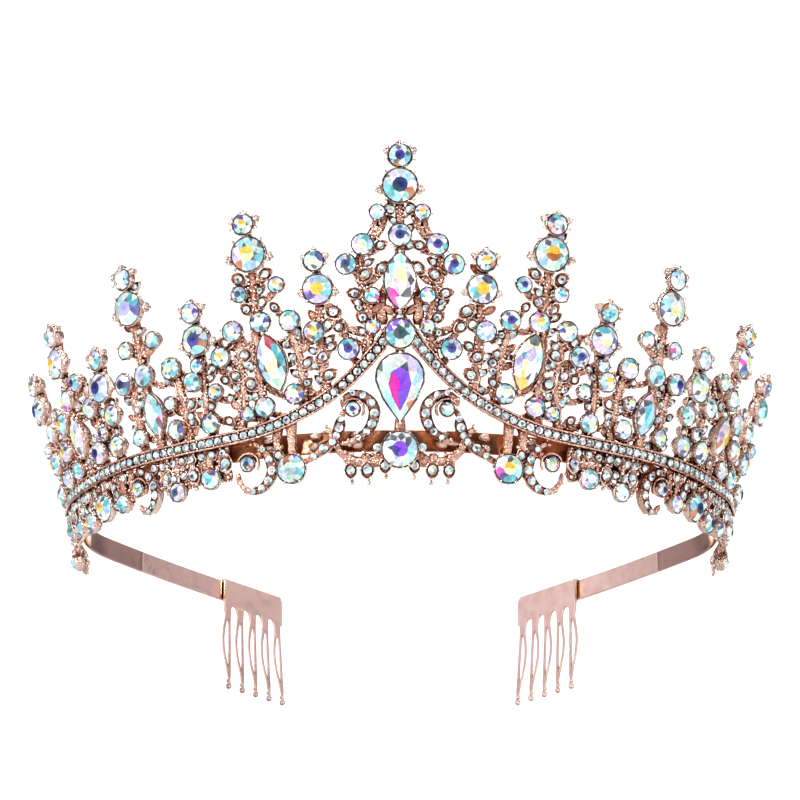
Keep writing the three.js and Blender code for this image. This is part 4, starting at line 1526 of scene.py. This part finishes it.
class SideCasting:
    """Front or end casting of one side."""

    def __init__(self, wall: Wall, rail: Rail, name: str, side: int, section: Section, seed: int) -> None:
        """Takes the wall, the rail, and which casting this is."""
        self.work = Filigree(wall, seed=seed, side=side)
        self.rail = rail
        self.name = name
        self.section = section

    def build(self, metal: bpy.types.Material, crystal: bpy.types.Material) -> None:
        """Builds the casting."""
        lay_section(self.work, self.section, self.rail)
        self.work.pieces(self.name, metal, crystal)


# ------------------------------------------------------------------ the named stones


CENTRE_TINTS = {
    "centre_finial_large_stone": Tinting(
        (Glow.SKY, Glow.ICE, Glow.LAVENDER, Glow.SKY, Glow.TURQUOISE, Glow.AQUA, Glow.AQUA, Glow.ICE),
        (Glow.NAVY, Glow.NAVY, Glow.PETROL, Glow.NAVY), ((-48, Glow.AMBER),)),
    "centre_finial_small_stone": Tinting(
        (Glow.ICE, Glow.LAVENDER, Glow.ICE, Glow.AQUA, Glow.ICE, Glow.TURQUOISE),
        (Glow.INDIGO, Glow.NAVY, Glow.INDIGO), ((-112, Glow.AMBER),)),
    "centre_marquise": Tinting(
        (Glow.LAVENDER, Glow.ICE, Glow.AQUA, Glow.ICE, Glow.MINT, Glow.PINK, Glow.WHITE, Glow.PINK),
        (Glow.WHITE, Glow.LEMON, Glow.LEMON, Glow.PINK), ((-112, Glow.MAGENTA),)),
    "heart_round": Tinting(
        (Glow.AQUA, Glow.VIOLET, Glow.VIOLET, Glow.SKY, Glow.TURQUOISE, Glow.MINT, Glow.MINT, Glow.AQUA),
        (Glow.PETROL, Glow.SMOKE, Glow.PETROL), ((140, Glow.VIOLET),)),
    "centre_pear": Tinting(
        (Glow.SKY, Glow.LAVENDER, Glow.ICE, Glow.MINT, Glow.MINT, Glow.AQUA, Glow.ICE, Glow.AQUA),
        (Glow.VIOLET, Glow.VIOLET, Glow.VIOLET, Glow.MAGENTA, Glow.MAGENTA), ((-66, Glow.AMBER),), 8),
    "bottom_round": Tinting(
        (Glow.SKY, Glow.WHITE, Glow.GREY, Glow.ICE, Glow.WHITE, Glow.GREY, Glow.MINT, Glow.AQUA),
        (Glow.VIOLET, Glow.INDIGO, Glow.VIOLET)),
}
SIDE_TINTS = {
    "left_marquise_1": Tinting(
        (Glow.TURQUOISE, Glow.AQUA, Glow.LAVENDER, Glow.SKY, Glow.MINT, Glow.AQUA),
        (Glow.LEMON, Glow.WHITE, Glow.LEMON), ((82, Glow.CRIMSON),)),
    "right_marquise_1": Tinting(
        (Glow.AQUA, Glow.LEMON, Glow.TURQUOISE, Glow.LAVENDER, Glow.WHITE, Glow.MINT),
        (Glow.WHITE, Glow.LAVENDER, Glow.LEMON), ((-95, Glow.GOLD),)),
    "left_marquise_2": Tinting(
        (Glow.AQUA, Glow.ICE, Glow.AQUA, Glow.AQUA, Glow.TURQUOISE, Glow.PINK),
        (Glow.AQUA, Glow.ICE, Glow.MINT), ((-60, Glow.ROSEWOOD),)),
    "left_finial_1_large_stone": Tinting(
        (Glow.AQUA, Glow.SKY, Glow.LAVENDER, Glow.VIOLET, Glow.LAVENDER, Glow.TURQUOISE),
        (Glow.GOLD, Glow.GOLD), ((205, Glow.INDIGO),)),
    "left_finial_2_large_stone": Tinting(
        (Glow.ICE, Glow.AQUA, Glow.LAVENDER, Glow.LAVENDER, Glow.SKY, Glow.TURQUOISE),
        (Glow.GOLD, Glow.LEMON), ((-100, Glow.SKY), (215, Glow.AMBER))),
    "right_finial_1_large_stone": Tinting(
        (Glow.SKY, Glow.WHITE, Glow.AQUA, Glow.TURQUOISE, Glow.LAVENDER, Glow.ICE),
        (Glow.GOLD, Glow.GOLD), ((60, Glow.NAVY),)),
    "right_finial_2_large_stone": Tinting(
        (Glow.TURQUOISE, Glow.AQUA, Glow.ICE, Glow.SKY, Glow.MINT, Glow.TURQUOISE),
        (Glow.GOLD, Glow.AMBER)),
    "left_drop_round_1": Tinting(
        (Glow.AQUA, Glow.VIOLET, Glow.GREY, Glow.SKY, Glow.MINT, Glow.TURQUOISE),
        (Glow.MINT, Glow.GREY), ((95, Glow.AMBER),)),
}


@dataclass(frozen=True)
class Gem:
    """One of the large stones that model.glb holds as a part of its own."""

    node: str
    arc: float
    height: float
    outline: tuple[Point, ...]
    turn: float = 0.0
    cut: Cut = Cut()

    def build(self, wall: Wall, crystal: bpy.types.Material, slot: str) -> None:
        """Makes the stone and puts it on the band.

        Args:
            wall: the wall it stands on.
            crystal: its material.
            slot: meant as the name of its material slot; not used.
        """
        rng = random.Random(self.node)
        tinting = CENTRE_TINTS.get(self.node) or SIDE_TINTS.get(self.node) or random_tinting(6, rng)
        sculpt = Sculpt()
        place = wall.seat(self.arc, self.height, self.turn)
        set_stone(sculpt, place, list(self.outline), self.cut, tinting, rng)
        gem = sculpt.build(f"{self.node}_gem", crystal, 0)
        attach(gem, "band")
        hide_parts(self.node)


def round_gem(node: str, stone: Stone, side: int = 1, crown: float = 1.0) -> Gem:
    """Large round stone on one side."""
    sides = 20 if stone[2] > 5.5 else 16
    return Gem(node, side * stone[0], stone[1], tuple(round_outline(stone[2], sides)), 0.2, Cut(crown=crown))


def fancy_gem(fancy: Fancy, prefix: str = "", side: int = 1) -> Gem:
    """Marquise or pear stone on one side."""
    turn = -side * math.radians(fancy.lean)
    length, shift = (1.3, -0.9) if fancy.pear else (1.15, 0)
    cut = Cut(table=0.5, shoulder=0.76, table_length=length, table_shift=shift)
    return Gem(prefix + fancy.node, side * fancy.at[0], fancy.at[1], tuple(fancy.outline(16)), turn, cut)


def named_gems() -> list[Gem]:
    """Every stone that model.glb holds as a part of its own."""
    gems = [fancy_gem(FANCIES[0]), fancy_gem(PEAR), round_gem("heart_round", HEART_ROUND),
            round_gem("bottom_round", BOTTOM_ROUND)]
    gems.append(round_gem("centre_finial_large_stone", FINIALS[0].large))
    gems.append(round_gem("centre_finial_small_stone", FINIALS[0].small, crown=0.7))
    for label, side in (("right", 1), ("left", -1)):
        gems.extend(fancy_gem(fancy, f"{label}_", side) for fancy in FANCIES[1:])
        for number, stone in enumerate(DROP_ROUNDS, 1):
            gems.append(round_gem(f"{label}_drop_round_{number}", stone, side))
        for number, finial in enumerate(FINIALS[1:], 1):
            gems.append(round_gem(f"{label}_finial_{number}_large_stone", finial.large, side))
            gems.append(round_gem(f"{label}_finial_{number}_small_stone", finial.small, side, 0.7))
    return gems


# ------------------------------------------------------------------ headband, arms and combs


@dataclass(frozen=True)
class Strip:
    """Flat headband strip; its outer face follows the plan line."""

    wall: Wall
    height: float = 4.5
    thickness: float = 0.8
    round_edge: float = 0.14
    band_end: float = 98.2
    arm_end: float = 158.6
    shoulder: float = 141.0
    tongue: float = 3.6
    bend_start: float = 107.0
    bend_end: float = 117.0
    crease: float = 116.6
    # Painted shade: a darker tint for the strip from the castings' end to each crease.
    bend_shade_tint: Colour = (0.66, 0.62, 0.62)
    solder: tuple[float, ...] = (8.5, 17, 26.5, 37.2, 48.5, 60, 71, 81, 88)

    def section(self, arc: float, inset: float) -> list[Vector]:
        """Rounded rectangle across the strip at an arc, set in from its faces."""
        edge, back = self.round_edge, -self.thickness + inset
        tall = self.height if abs(arc) < self.shoulder else self.tongue
        corners = (
            (edge, -inset), (tall - edge, -inset), (tall, -edge - inset), (tall, back + edge),
            (tall - edge, back), (edge, back), (0, back + edge), (0, -edge - inset),
        )
        return [self.wall.point(arc, height, proud, 0) for height, proud in corners]

    def bar(self, start: float, end: float) -> Sculpt:
        """Strip between two signed arcs, darkened by painted shade between the castings and the crease in
        each arm.
        """
        count = max(2, round(abs(end - start) / 1.1))
        arcs = {start + (end - start) * step / count: 0.0 for step in range(count + 1)}
        for side in (-1, 1):
            at = side * self.crease
            if min(start, end) < at < max(start, end):
                arcs |= {at - 0.15: 0.0, at - 0.02: 0.03, at + 0.02: 0.03, at + 0.15: 0.0}
                arcs |= {side * (self.shoulder - 0.02): 0.0, side * (self.shoulder + 0.02): 0.0}
        stations = sorted(arcs)
        sculpt = Sculpt()
        sculpt.loft([self.section(arc, arcs[arc]) for arc in stations])
        corners = len(self.section(0, 0))
        # Painted shade: faces from just inside the castings' end to the crease take the darker tint.
        for index, (near, far) in enumerate(zip(stations, stations[1:])):
            if self.band_end - 1 < abs((near + far) / 2) < self.crease:
                for corner in range(corners):
                    sculpt.tints[index * corners + corner] = self.bend_shade_tint
        return sculpt

    def build_band(self, metal: bpy.types.Material, solder: bpy.types.Material) -> None:
        """Makes the part of the strip that carries the castings, and the solder that joins them."""
        band = self.bar(-self.band_end, self.band_end).build("headband_strip_bar", metal, 35)
        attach(band, "band")
        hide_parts("headband_strip")
        blobs = Sculpt()
        rng = random.Random(5)
        for arc in self.solder:
            for side in (-1, 1):
                for height in (1.2, 3.2):
                    at = self.wall.point(side * arc, height + rng.uniform(-0.3, 0.3), 0.25, 0)
                    across, _, out = self.wall.axes(side * arc, 0)
                    lean = Matrix((across * 1.5, Vector((0, 0, 0.9)), out * 1.1)).transposed().to_4x4()
                    blobs.ball(Matrix.Translation(at) @ lean @ Matrix.Scale(MM, 4))
        joints = blobs.build("solder_joints", solder, 60)
        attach(joints, "band")

    def build_arm(self, side: int, label: str, metal: bpy.types.Material) -> None:
        """Makes one arm, the strip beyond the castings."""
        arm = self.bar(side * self.band_end, side * self.arm_end).build(f"{label}_arm_bar", metal, 35)
        middle = -self.thickness / 2
        start = self.wall.point(side * self.bend_start, self.height / 2, middle, 0)
        end = self.wall.point(side * self.bend_end, self.height / 2, middle, 0)
        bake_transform(arm)
        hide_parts(f"{label}_arm")


@dataclass(frozen=True)
class Comb:
    """Side comb: a plate of split teeth whose top folds over the end of the arm."""

    wall: Wall
    side: int
    seam: float = 141.3
    width: float = 18.2
    sheet: float = 0.7
    channel: float = 1.4
    top: float = 4.6
    leaf: float = 3.6
    pitch: float = 3.83
    teeth: int = 5
    slot: float = 1.9
    slot_top: float = 1.1
    split_top: float = 4.6
    tooth: float = 20.9
    tine: float = 0.6
    sweep: float = 1.7
    fan: float = 0.09
    bevel: float = 0.05
    ball: float = 0.66
    neck: float = 1.25
    arm_sheet: float = 0.8

    @property
    def offset(self) -> float:
        """Distance of the toothed plate from the strip's middle."""
        return self.channel / 2 + self.sheet / 2

    def middle(self, tooth: int) -> float:
        """Distance of a tooth's middle from the seam."""
        return self.width / 2 + (tooth - (self.teeth - 1) / 2) * self.pitch

    def place(self) -> Matrix:
        """Frame of the comb: x along the arm, y inward, z up, from millimetres to metres."""
        across, _, out = self.wall.axes(self.side * self.seam, 0)
        basis = Matrix((across * self.side, -out, Vector((0, 0, 1)))).transposed().to_4x4()
        seam = self.wall.point(self.side * self.seam, 0, -self.arm_sheet / 2, 0)
        return Matrix.Translation(seam) @ basis @ Matrix.Scale(MM, 4)

    def tooth_edges(self, middle: float) -> tuple[list[Point], list[Point], list[Point]]:
        """Outline of one tooth.

        Args:
            middle: distance of the tooth's middle from the seam.

        Returns:
            Its bowed edge going down, its straight edge going up, and the slit between its tines.
        """
        half = (self.pitch - self.slot) / 2 - self.bevel
        left, right = middle - half, middle + half
        top, tip = -self.slot_top - self.slot / 2, -self.tooth
        bowed = through([
            (left, top), (left + 0.14, -3.8), (left - 0.06, -5.4), (left - 0.5, -8.2), (left - 0.62, -10.8),
            (left - 0.34, -13.6), (middle - 0.6, -16.6), (middle - 0.42, -18.2), (middle - 0.22, -19.4),
            (middle - 0.25, tip),
        ], 0.5)
        straight = through([
            (middle + 0.25, tip), (middle + 0.22, -19.4), (middle + 0.42, -18.2), (middle + 0.5, -16),
            (right - 0.24, -10.5), (right - 0.2, -6.5), (right - 0.12, -3.8), (right, top),
        ], 0.5)
        thin, thick = self.tine * 0.55, self.tine * 0.75
        down = through([
            (middle - 0.04, -self.split_top), (left + thin, -6), (left - 0.48 + thin, -8.4),
            (left - 0.58 + thin, -10.8), (left - 0.28 + thin, -13.6), (middle - 0.14, -16.4),
        ], 0.5)
        rise = through([
            (middle, -16.5), (right - 0.24 - thick, -10.8), (right - 0.22 - thick, -6.4),
            (middle + 0.1, -self.split_top),
        ], 0.5)
        return bowed, straight, down + rise

    def plate(self) -> bpy.types.Mesh:
        """Toothed plate drawn flat as a filled curve, then turned to a mesh."""
        edge: list[Point] = [(self.width - 0.7, self.top), (0, self.top)]
        slits: list[list[Point]] = []
        for tooth in range(self.teeth):
            bowed, straight, slit = self.tooth_edges(self.middle(tooth))
            edge += bowed + straight
            slits.append(slit)
            if tooth < self.teeth - 1:
                middle, radius = self.middle(tooth) + self.pitch / 2, self.slot / 2 + self.bevel
                for step in range(1, 10):
                    turn = math.pi - math.pi * step / 10
                    drop = radius * (math.sin(turn) - 1) - self.slot_top
                    edge.append((middle + radius * math.cos(turn), drop))
        edge += [(self.width, -self.slot_top - 1), (self.width, self.top - 0.9)]
        curve = bpy.data.curves.new("comb_plate", "CURVE")
        curve.dimensions = "2D"
        curve.fill_mode = "BOTH"
        curve.extrude = self.sheet / 2 - self.bevel
        curve.bevel_depth = self.bevel
        curve.bevel_resolution = 1
        for line in (edge, *slits):
            spline = curve.splines.new("POLY")
            spline.points.add(len(line) - 1)
            spline.use_cyclic_u = True
            for knot, (x, y) in zip(spline.points, line):
                knot.co = (x, y, 0, 1)
        drawn = bpy.data.objects.new("comb_plate", curve)
        mesh = bpy.data.meshes.new_from_object(drawn)
        bpy.data.objects.remove(drawn)
        bpy.data.curves.remove(curve)
        return mesh

    def build(self, label: str, metal: bpy.types.Material, seam_glint: bpy.types.Material) -> None:
        """Makes the comb and the bright lines along its seam, which paint the highlight on that edge, and
        puts both on the arm.

        Args:
            label: "left" or "right".
            metal: finish of the comb.
            seam_glint: material of the seam lines, brighter and more orange than the comb, a painted
                highlight.
        """
        place = self.place()
        body = f"{label}_arm_assembly"
        sculpt = Sculpt()
        self.add_teeth(sculpt, place)
        self.add_fold(sculpt, place)
        self.add_tips(sculpt, place)
        comb = sculpt.build(f"{label}_comb_plate", metal, 35)
        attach(comb, body)
        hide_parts(f"{label}_comb")
        bead = self.seam_lines(place).build(f"{label}_comb_seam", seam_glint, 50)
        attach(bead, body)

    def add_teeth(self, sculpt: Sculpt, place: Matrix) -> None:
        """Adds the toothed plate, thinner down its teeth and with a small spot-weld dimple."""
        flat = self.plate()
        spots = []
        for vertex in flat.vertices:
            x, z, depth = vertex.co
            dimple = 0.12 * math.exp(-((x - 3.6) ** 2 + (z - 2.6) ** 2) / 0.25)
            thinned = 1 - 0.5 * min(1.0, max(0.0, -z - self.slot_top) / 3)
            reach = self.offset + (depth - self.sheet / 2) * thinned + self.sheet / 2 - dimple
            spots.append(place @ self.swept(Vector((x, reach, z))))
        sculpt.add(spots, [tuple(face.vertices) for face in flat.polygons])
        bpy.data.meshes.remove(flat)

    def add_tips(self, sculpt: Sculpt, place: Matrix) -> None:
        """Adds the ball at the tip of each tooth and the neck above it."""
        for tooth in range(self.teeth):
            tip = self.swept(Vector((self.middle(tooth), self.offset, -self.tooth)))
            sculpt.ball(place @ Matrix.Translation(tip) @ Matrix.Scale(self.ball, 4), SHELL)
            neck = self.swept(Vector((self.middle(tooth), self.offset, -self.tooth + self.neck)))
            sculpt.ball(place @ Matrix.Translation(neck) @ Matrix.Diagonal((0.5, 0.5, 0.42, 1)), SHELL)

    def seam_lines(self, place: Matrix) -> Sculpt:
        """Lines along the comb's edge, where it meets the arm, in a brighter metal that paints the highlight
        on that edge.

        Args:
            place: the comb's frame.

        Returns:
            The lines' shape.
        """
        seam = Sculpt()
        top = self.top - 0.1
        for x, reach in ((0.1, self.offset + self.sheet / 2), (-0.2, self.channel / 2 - 0.1)):
            rings = []
            for z in (0.1, 0.3, top - 0.4, top - 0.2):
                wide = 0.12 if 0.2 < z < top - 0.3 else 0.06
                corners = [(wide * math.cos(TAU * k / 8), 0.3 * math.sin(TAU * k / 8)) for k in range(8)]
                rings.append([place @ Vector((x + off, reach - 0.2 + bulge, z)) for off, bulge in corners])
            seam.loft(rings)
        return seam

    def swept(self, spot: Vector) -> Vector:
        """Leans a point of a tooth inward and spreads it from its neighbours, more towards its tip."""
        drop = max(0.0, -spot.z) / self.tooth
        spread = (spot.x - self.width / 2) * self.fan * drop
        return Vector((spot.x + spread, spot.y + self.sweep * drop**1.5, spot.z))

    def add_fold(self, sculpt: Sculpt, place: Matrix) -> None:
        """Adds the folded top and the outer leaf, as one bent sheet with round corners."""
        inner, outer = -self.channel / 2, -self.channel / 2 - self.sheet
        low = self.top - self.leaf
        near = self.offset
        section = [
            (outer + 0.1, low), (outer, low + 0.12), (outer, self.top - 0.5), (outer + 0.16, self.top - 0.14),
            (outer + 0.5, self.top), (near, self.top), (near, self.top - self.sheet),
            (inner, self.top - self.sheet), (inner, low),
        ]
        rings = []
        for x, shrink in ((0.0, 0.06), (0.1, 0.0), (self.width - 0.1, 0.0), (self.width, 0.06)):
            rings.append([place @ Vector((x, y + shrink, z - shrink)) for y, z in section])
        sculpt.loft(rings)


@dataclass(frozen=True)
class PetalRow:
    """Ring of petals: their count, reach, size, height above the wall and lean in degrees."""

    count: int
    reach: float
    size: float
    proud: float
    lean: float


@dataclass(frozen=True)
class Rosette:
    """Folded rose that closes the end of the castings."""

    wall: Wall
    side: int
    arc: float = 98.2
    height: float = -2.0
    rows: tuple[PetalRow, ...] = (
        PetalRow(5, 2.6, 2.0, 1.3, 26),
        PetalRow(5, 1.6, 1.6, 2.1, 46),
        PetalRow(3, 0.7, 1.15, 3.0, 64),
    )

    def build(self, label: str, metal: bpy.types.Material, crystal: bpy.types.Material) -> None:
        """Makes the petals, the bud and the small stone beside them.

        Args:
            label: "left" or "right".
            metal: its metal.
            crystal: the small stone's material.
        """
        work = Filigree(self.wall, seed=31, side=self.side)
        place = work.frame_at((self.arc, self.height))
        for number, row in enumerate(self.rows):
            tilt = Matrix.Rotation(math.radians(-row.lean), 4, "Y")
            petal = tilt @ Matrix.Diagonal((row.size * 0.82, row.size, 0.42, 1))
            for index in range(row.count):
                turn = Matrix.Rotation(TAU * (index + number * 0.4) / row.count, 4, "Z")
                lift = Matrix.Translation((row.reach, 0, row.proud))
                work.metal.ball(place @ turn @ lift @ petal, SHELL)
        work.metal.ball(place @ Matrix.Translation((0, 0, 2.8)) @ Matrix.Diagonal((0.8, 0.8, 1.1, 1)), SHELL)
        work.metal.ball(place @ Matrix.Translation((0, 0, 1.1)) @ Matrix.Diagonal((2.8, 2.8, 0.6, 1)), SHELL)
        arc, height = self.arc, self.height
        work.rod([(arc - 8, height + 6.4), (arc - 4, height + 3.4), (arc, height)], STEM)
        for leaf_at, lean in ((-5.6, 2.2), (-6.6, -2.2)):
            work.leaf((arc + leaf_at, height + 1.6), lean, 4.2, 2.2, 1.4)
        work.rod([(arc - 6.4, height + 5.4), (arc - 6.2, height + 1), (arc - 5, height - 1)], SPRIG)
        stone = (arc - 4.4, height - 2.6, 3.0)
        work.rod([(arc, height), stone[:2]], TWIG, 0.7, 6)
        work.cup(stone[:2], round_outline(stone[2], 16), shape=CupShape(rim=2.8, lip=0.3))
        work.small_stone(stone[:2], stone[2], 2.95)
        rose = work.metal.build(f"{label}_end_rosette_petals", metal, 60)
        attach(rose, "band")
        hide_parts(f"{label}_end_rosette")
        gem = work.stones.build(f"{label}_end_rosette_stone", crystal, 0)
        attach(gem, "band")


# ------------------------------------------------------------------ studio


@dataclass(frozen=True)
class Card:
    """Soft light card, aimed at the tiara; its place is in metres from the front centre."""

    name: str
    place: tuple[float, float, float]
    size: tuple[float, float]
    power: float


@dataclass(frozen=True)
class Studio:
    """White sweep, soft cards and the camera below the front of the tiara."""

    wall: Wall
    cards: tuple[Card, ...] = (
        Card("key_card", (-0.50, -0.65, 0.45), (0.24, 0.24), 4.2),
        Card("front_card", (0.40, -0.64, -0.30), (0.36, 0.14), 2.4),
        Card("left_strip", (-0.75, -0.1, 0.05), (0.12, 0.7), 1.5),
        Card("right_strip", (0.75, -0.25, 0.15), (0.12, 0.7), 2.0),
        Card("top_card", (0.1, 0.10, 0.85), (0.4, 0.4), 2.3),
        Card("rear_card", (0.0, 0.80, 0.25), (0.9, 0.2), 1.6),
    )
    elevation: float = -23.0
    distance: float = 0.65
    rise: float = 0.0101
    lens: float = 146.25

    def build(self) -> None:
        """Sets up the floor, the lights, the surroundings and the camera."""
        target = Vector((0, self.wall.front, self.wall.base))
        self.lay_floor()
        for card in self.cards:
            lamp = bpy.data.lights.new(card.name, "AREA")
            lamp.shape = "RECTANGLE"
            lamp.size, lamp.size_y = card.size
            lamp.energy = card.power
            holder = bpy.data.objects.new(card.name, lamp)
            holder.location = target + Vector(card.place)
            aim = target + Vector((0, 0.03, 0.03)) - holder.location
            holder.rotation_euler = aim.to_track_quat("-Z", "Y").to_euler()
            holder.visible_camera = False
            bpy.context.scene.collection.objects.link(holder)
        self.surround()
        self.set_camera(target)
        bpy.context.scene.view_settings.view_transform = "Standard"
        bpy.context.scene.view_settings.look = "High Contrast"

    def lay_floor(self) -> None:
        """Lays a pale floor that can be looked through from below."""
        level = CAD_BOX[0].z
        reach = 1.6
        mesh = bpy.data.meshes.new("floor")
        corners = [(x * reach, y * reach, level) for x, y in ((-1, -1), (1, -1), (1, 1), (-1, 1))]
        mesh.from_pydata(corners, [], [(0, 1, 2, 3)])
        floor = link("floor", mesh)
        floor.visible_shadow = False
        made = bpy.data.materials.new("floor_paper")
        made.use_nodes = True
        made.node_tree.nodes.clear()
        wire = Wiring(made.node_tree)
        grain = wire.node("Group", node_tree=grain_group(), inputs={"Size": 0.004})
        rough = wire.spread(grain.outputs["Mottle"], 0.3, 0.7, 0.8, 0.95)
        paper = wire.node("BsdfPrincipled", {"Base Color": (0.9, 0.89, 0.88, 1), "Roughness": rough})
        clear = wire.node("BsdfTransparent")
        below = wire.node("NewGeometry").outputs["Backfacing"]
        mix = wire.node("MixShader", {0: below, 1: paper.outputs[0], 2: clear.outputs[0]})
        wire.node("OutputMaterial", {"Surface": mix.outputs[0]})
        mesh.materials.append(made)

    def surround(self) -> None:
        """Makes the background white and the reflections' surroundings grey."""
        world = bpy.data.worlds.new("surround")
        world.use_nodes = True
        world.node_tree.nodes.clear()
        wire = Wiring(world.node_tree)
        seen = wire.node("Background", {"Color": (1, 1, 1, 1), "Strength": 1.0})
        around = wire.node("Background", {"Color": (0.95, 0.97, 1.0, 1), "Strength": 0.12})
        straight = wire.node("LightPath").outputs["Is Camera Ray"]
        mix = wire.node("MixShader", {0: straight, 1: around.outputs[0], 2: seen.outputs[0]})
        wire.node("OutputWorld", {"Surface": mix.outputs[0]})
        bpy.context.scene.world = world

    def set_camera(self, target: Vector) -> None:
        """Places the camera below the front, looking up at the tiara."""
        lift = math.radians(self.elevation)
        forward = Vector((0, math.cos(lift), -math.sin(lift)))
        upright = Vector((0, math.sin(lift), math.cos(lift)))
        lens = bpy.data.cameras.new("camera")
        lens.lens = self.lens
        lens.sensor_width = 36
        lens.clip_start = 0.01
        camera = bpy.data.objects.new("camera", lens)
        camera.location = target + upright * self.rise - forward * self.distance
        camera.rotation_euler = (math.radians(90 - self.elevation), 0, 0)
        bpy.context.scene.collection.objects.link(camera)
        bpy.context.scene.camera = camera


# ------------------------------------------------------------------ assembly


def main() -> None:
    """Builds the tiara part by part, then the studio round it."""
    logging.basicConfig(level=logging.INFO, format="%(name)s: %(message)s")
    wall = Wall.on_strip()
    rail = Rail()
    cast, satin, seam_glint = CAST_GOLD.material(), SATIN_GOLD.material(), SEAM_GLINT_GOLD.material()
    crystal, violet = CRYSTAL.material(), VIOLET_CRYSTAL.material()

    strip = Strip(wall)
    strip.build_band(BAND_SHADE_GOLD.material(), cast)
    LOG.info("headband strip and its solder built")
    CentreCasting(wall, rail).build(cast, crystal)
    LOG.info("centre casting built")
    for label, side in (("right", 1), ("left", -1)):
        SideCasting(wall, rail, f"{label}_front_casting", side, FRONT, 20 + side).build(cast, crystal)
        LOG.info("%s front casting built", label)
        SideCasting(wall, rail, f"{label}_end_casting", side, END, 40 + side).build(cast, crystal)
        LOG.info("%s end casting built", label)
        Rosette(wall, side).build(label, cast, crystal)
        LOG.info("%s end rosette built", label)
        strip.build_arm(side, label, satin)
        LOG.info("%s arm built", label)
        Comb(wall, side).build(label, satin, seam_glint)
        LOG.info("%s comb built", label)
    for gem in named_gems():
        special = gem.node in ("centre_pear", "heart_round", "bottom_round")
        gem.build(wall, violet if special else crystal, "violet_crystal" if special else "aurora_crystal")
        LOG.info("%s built", gem.node)
    Studio(wall).build()
    LOG.info("studio set up")


if __name__ == "__main__":
    main()
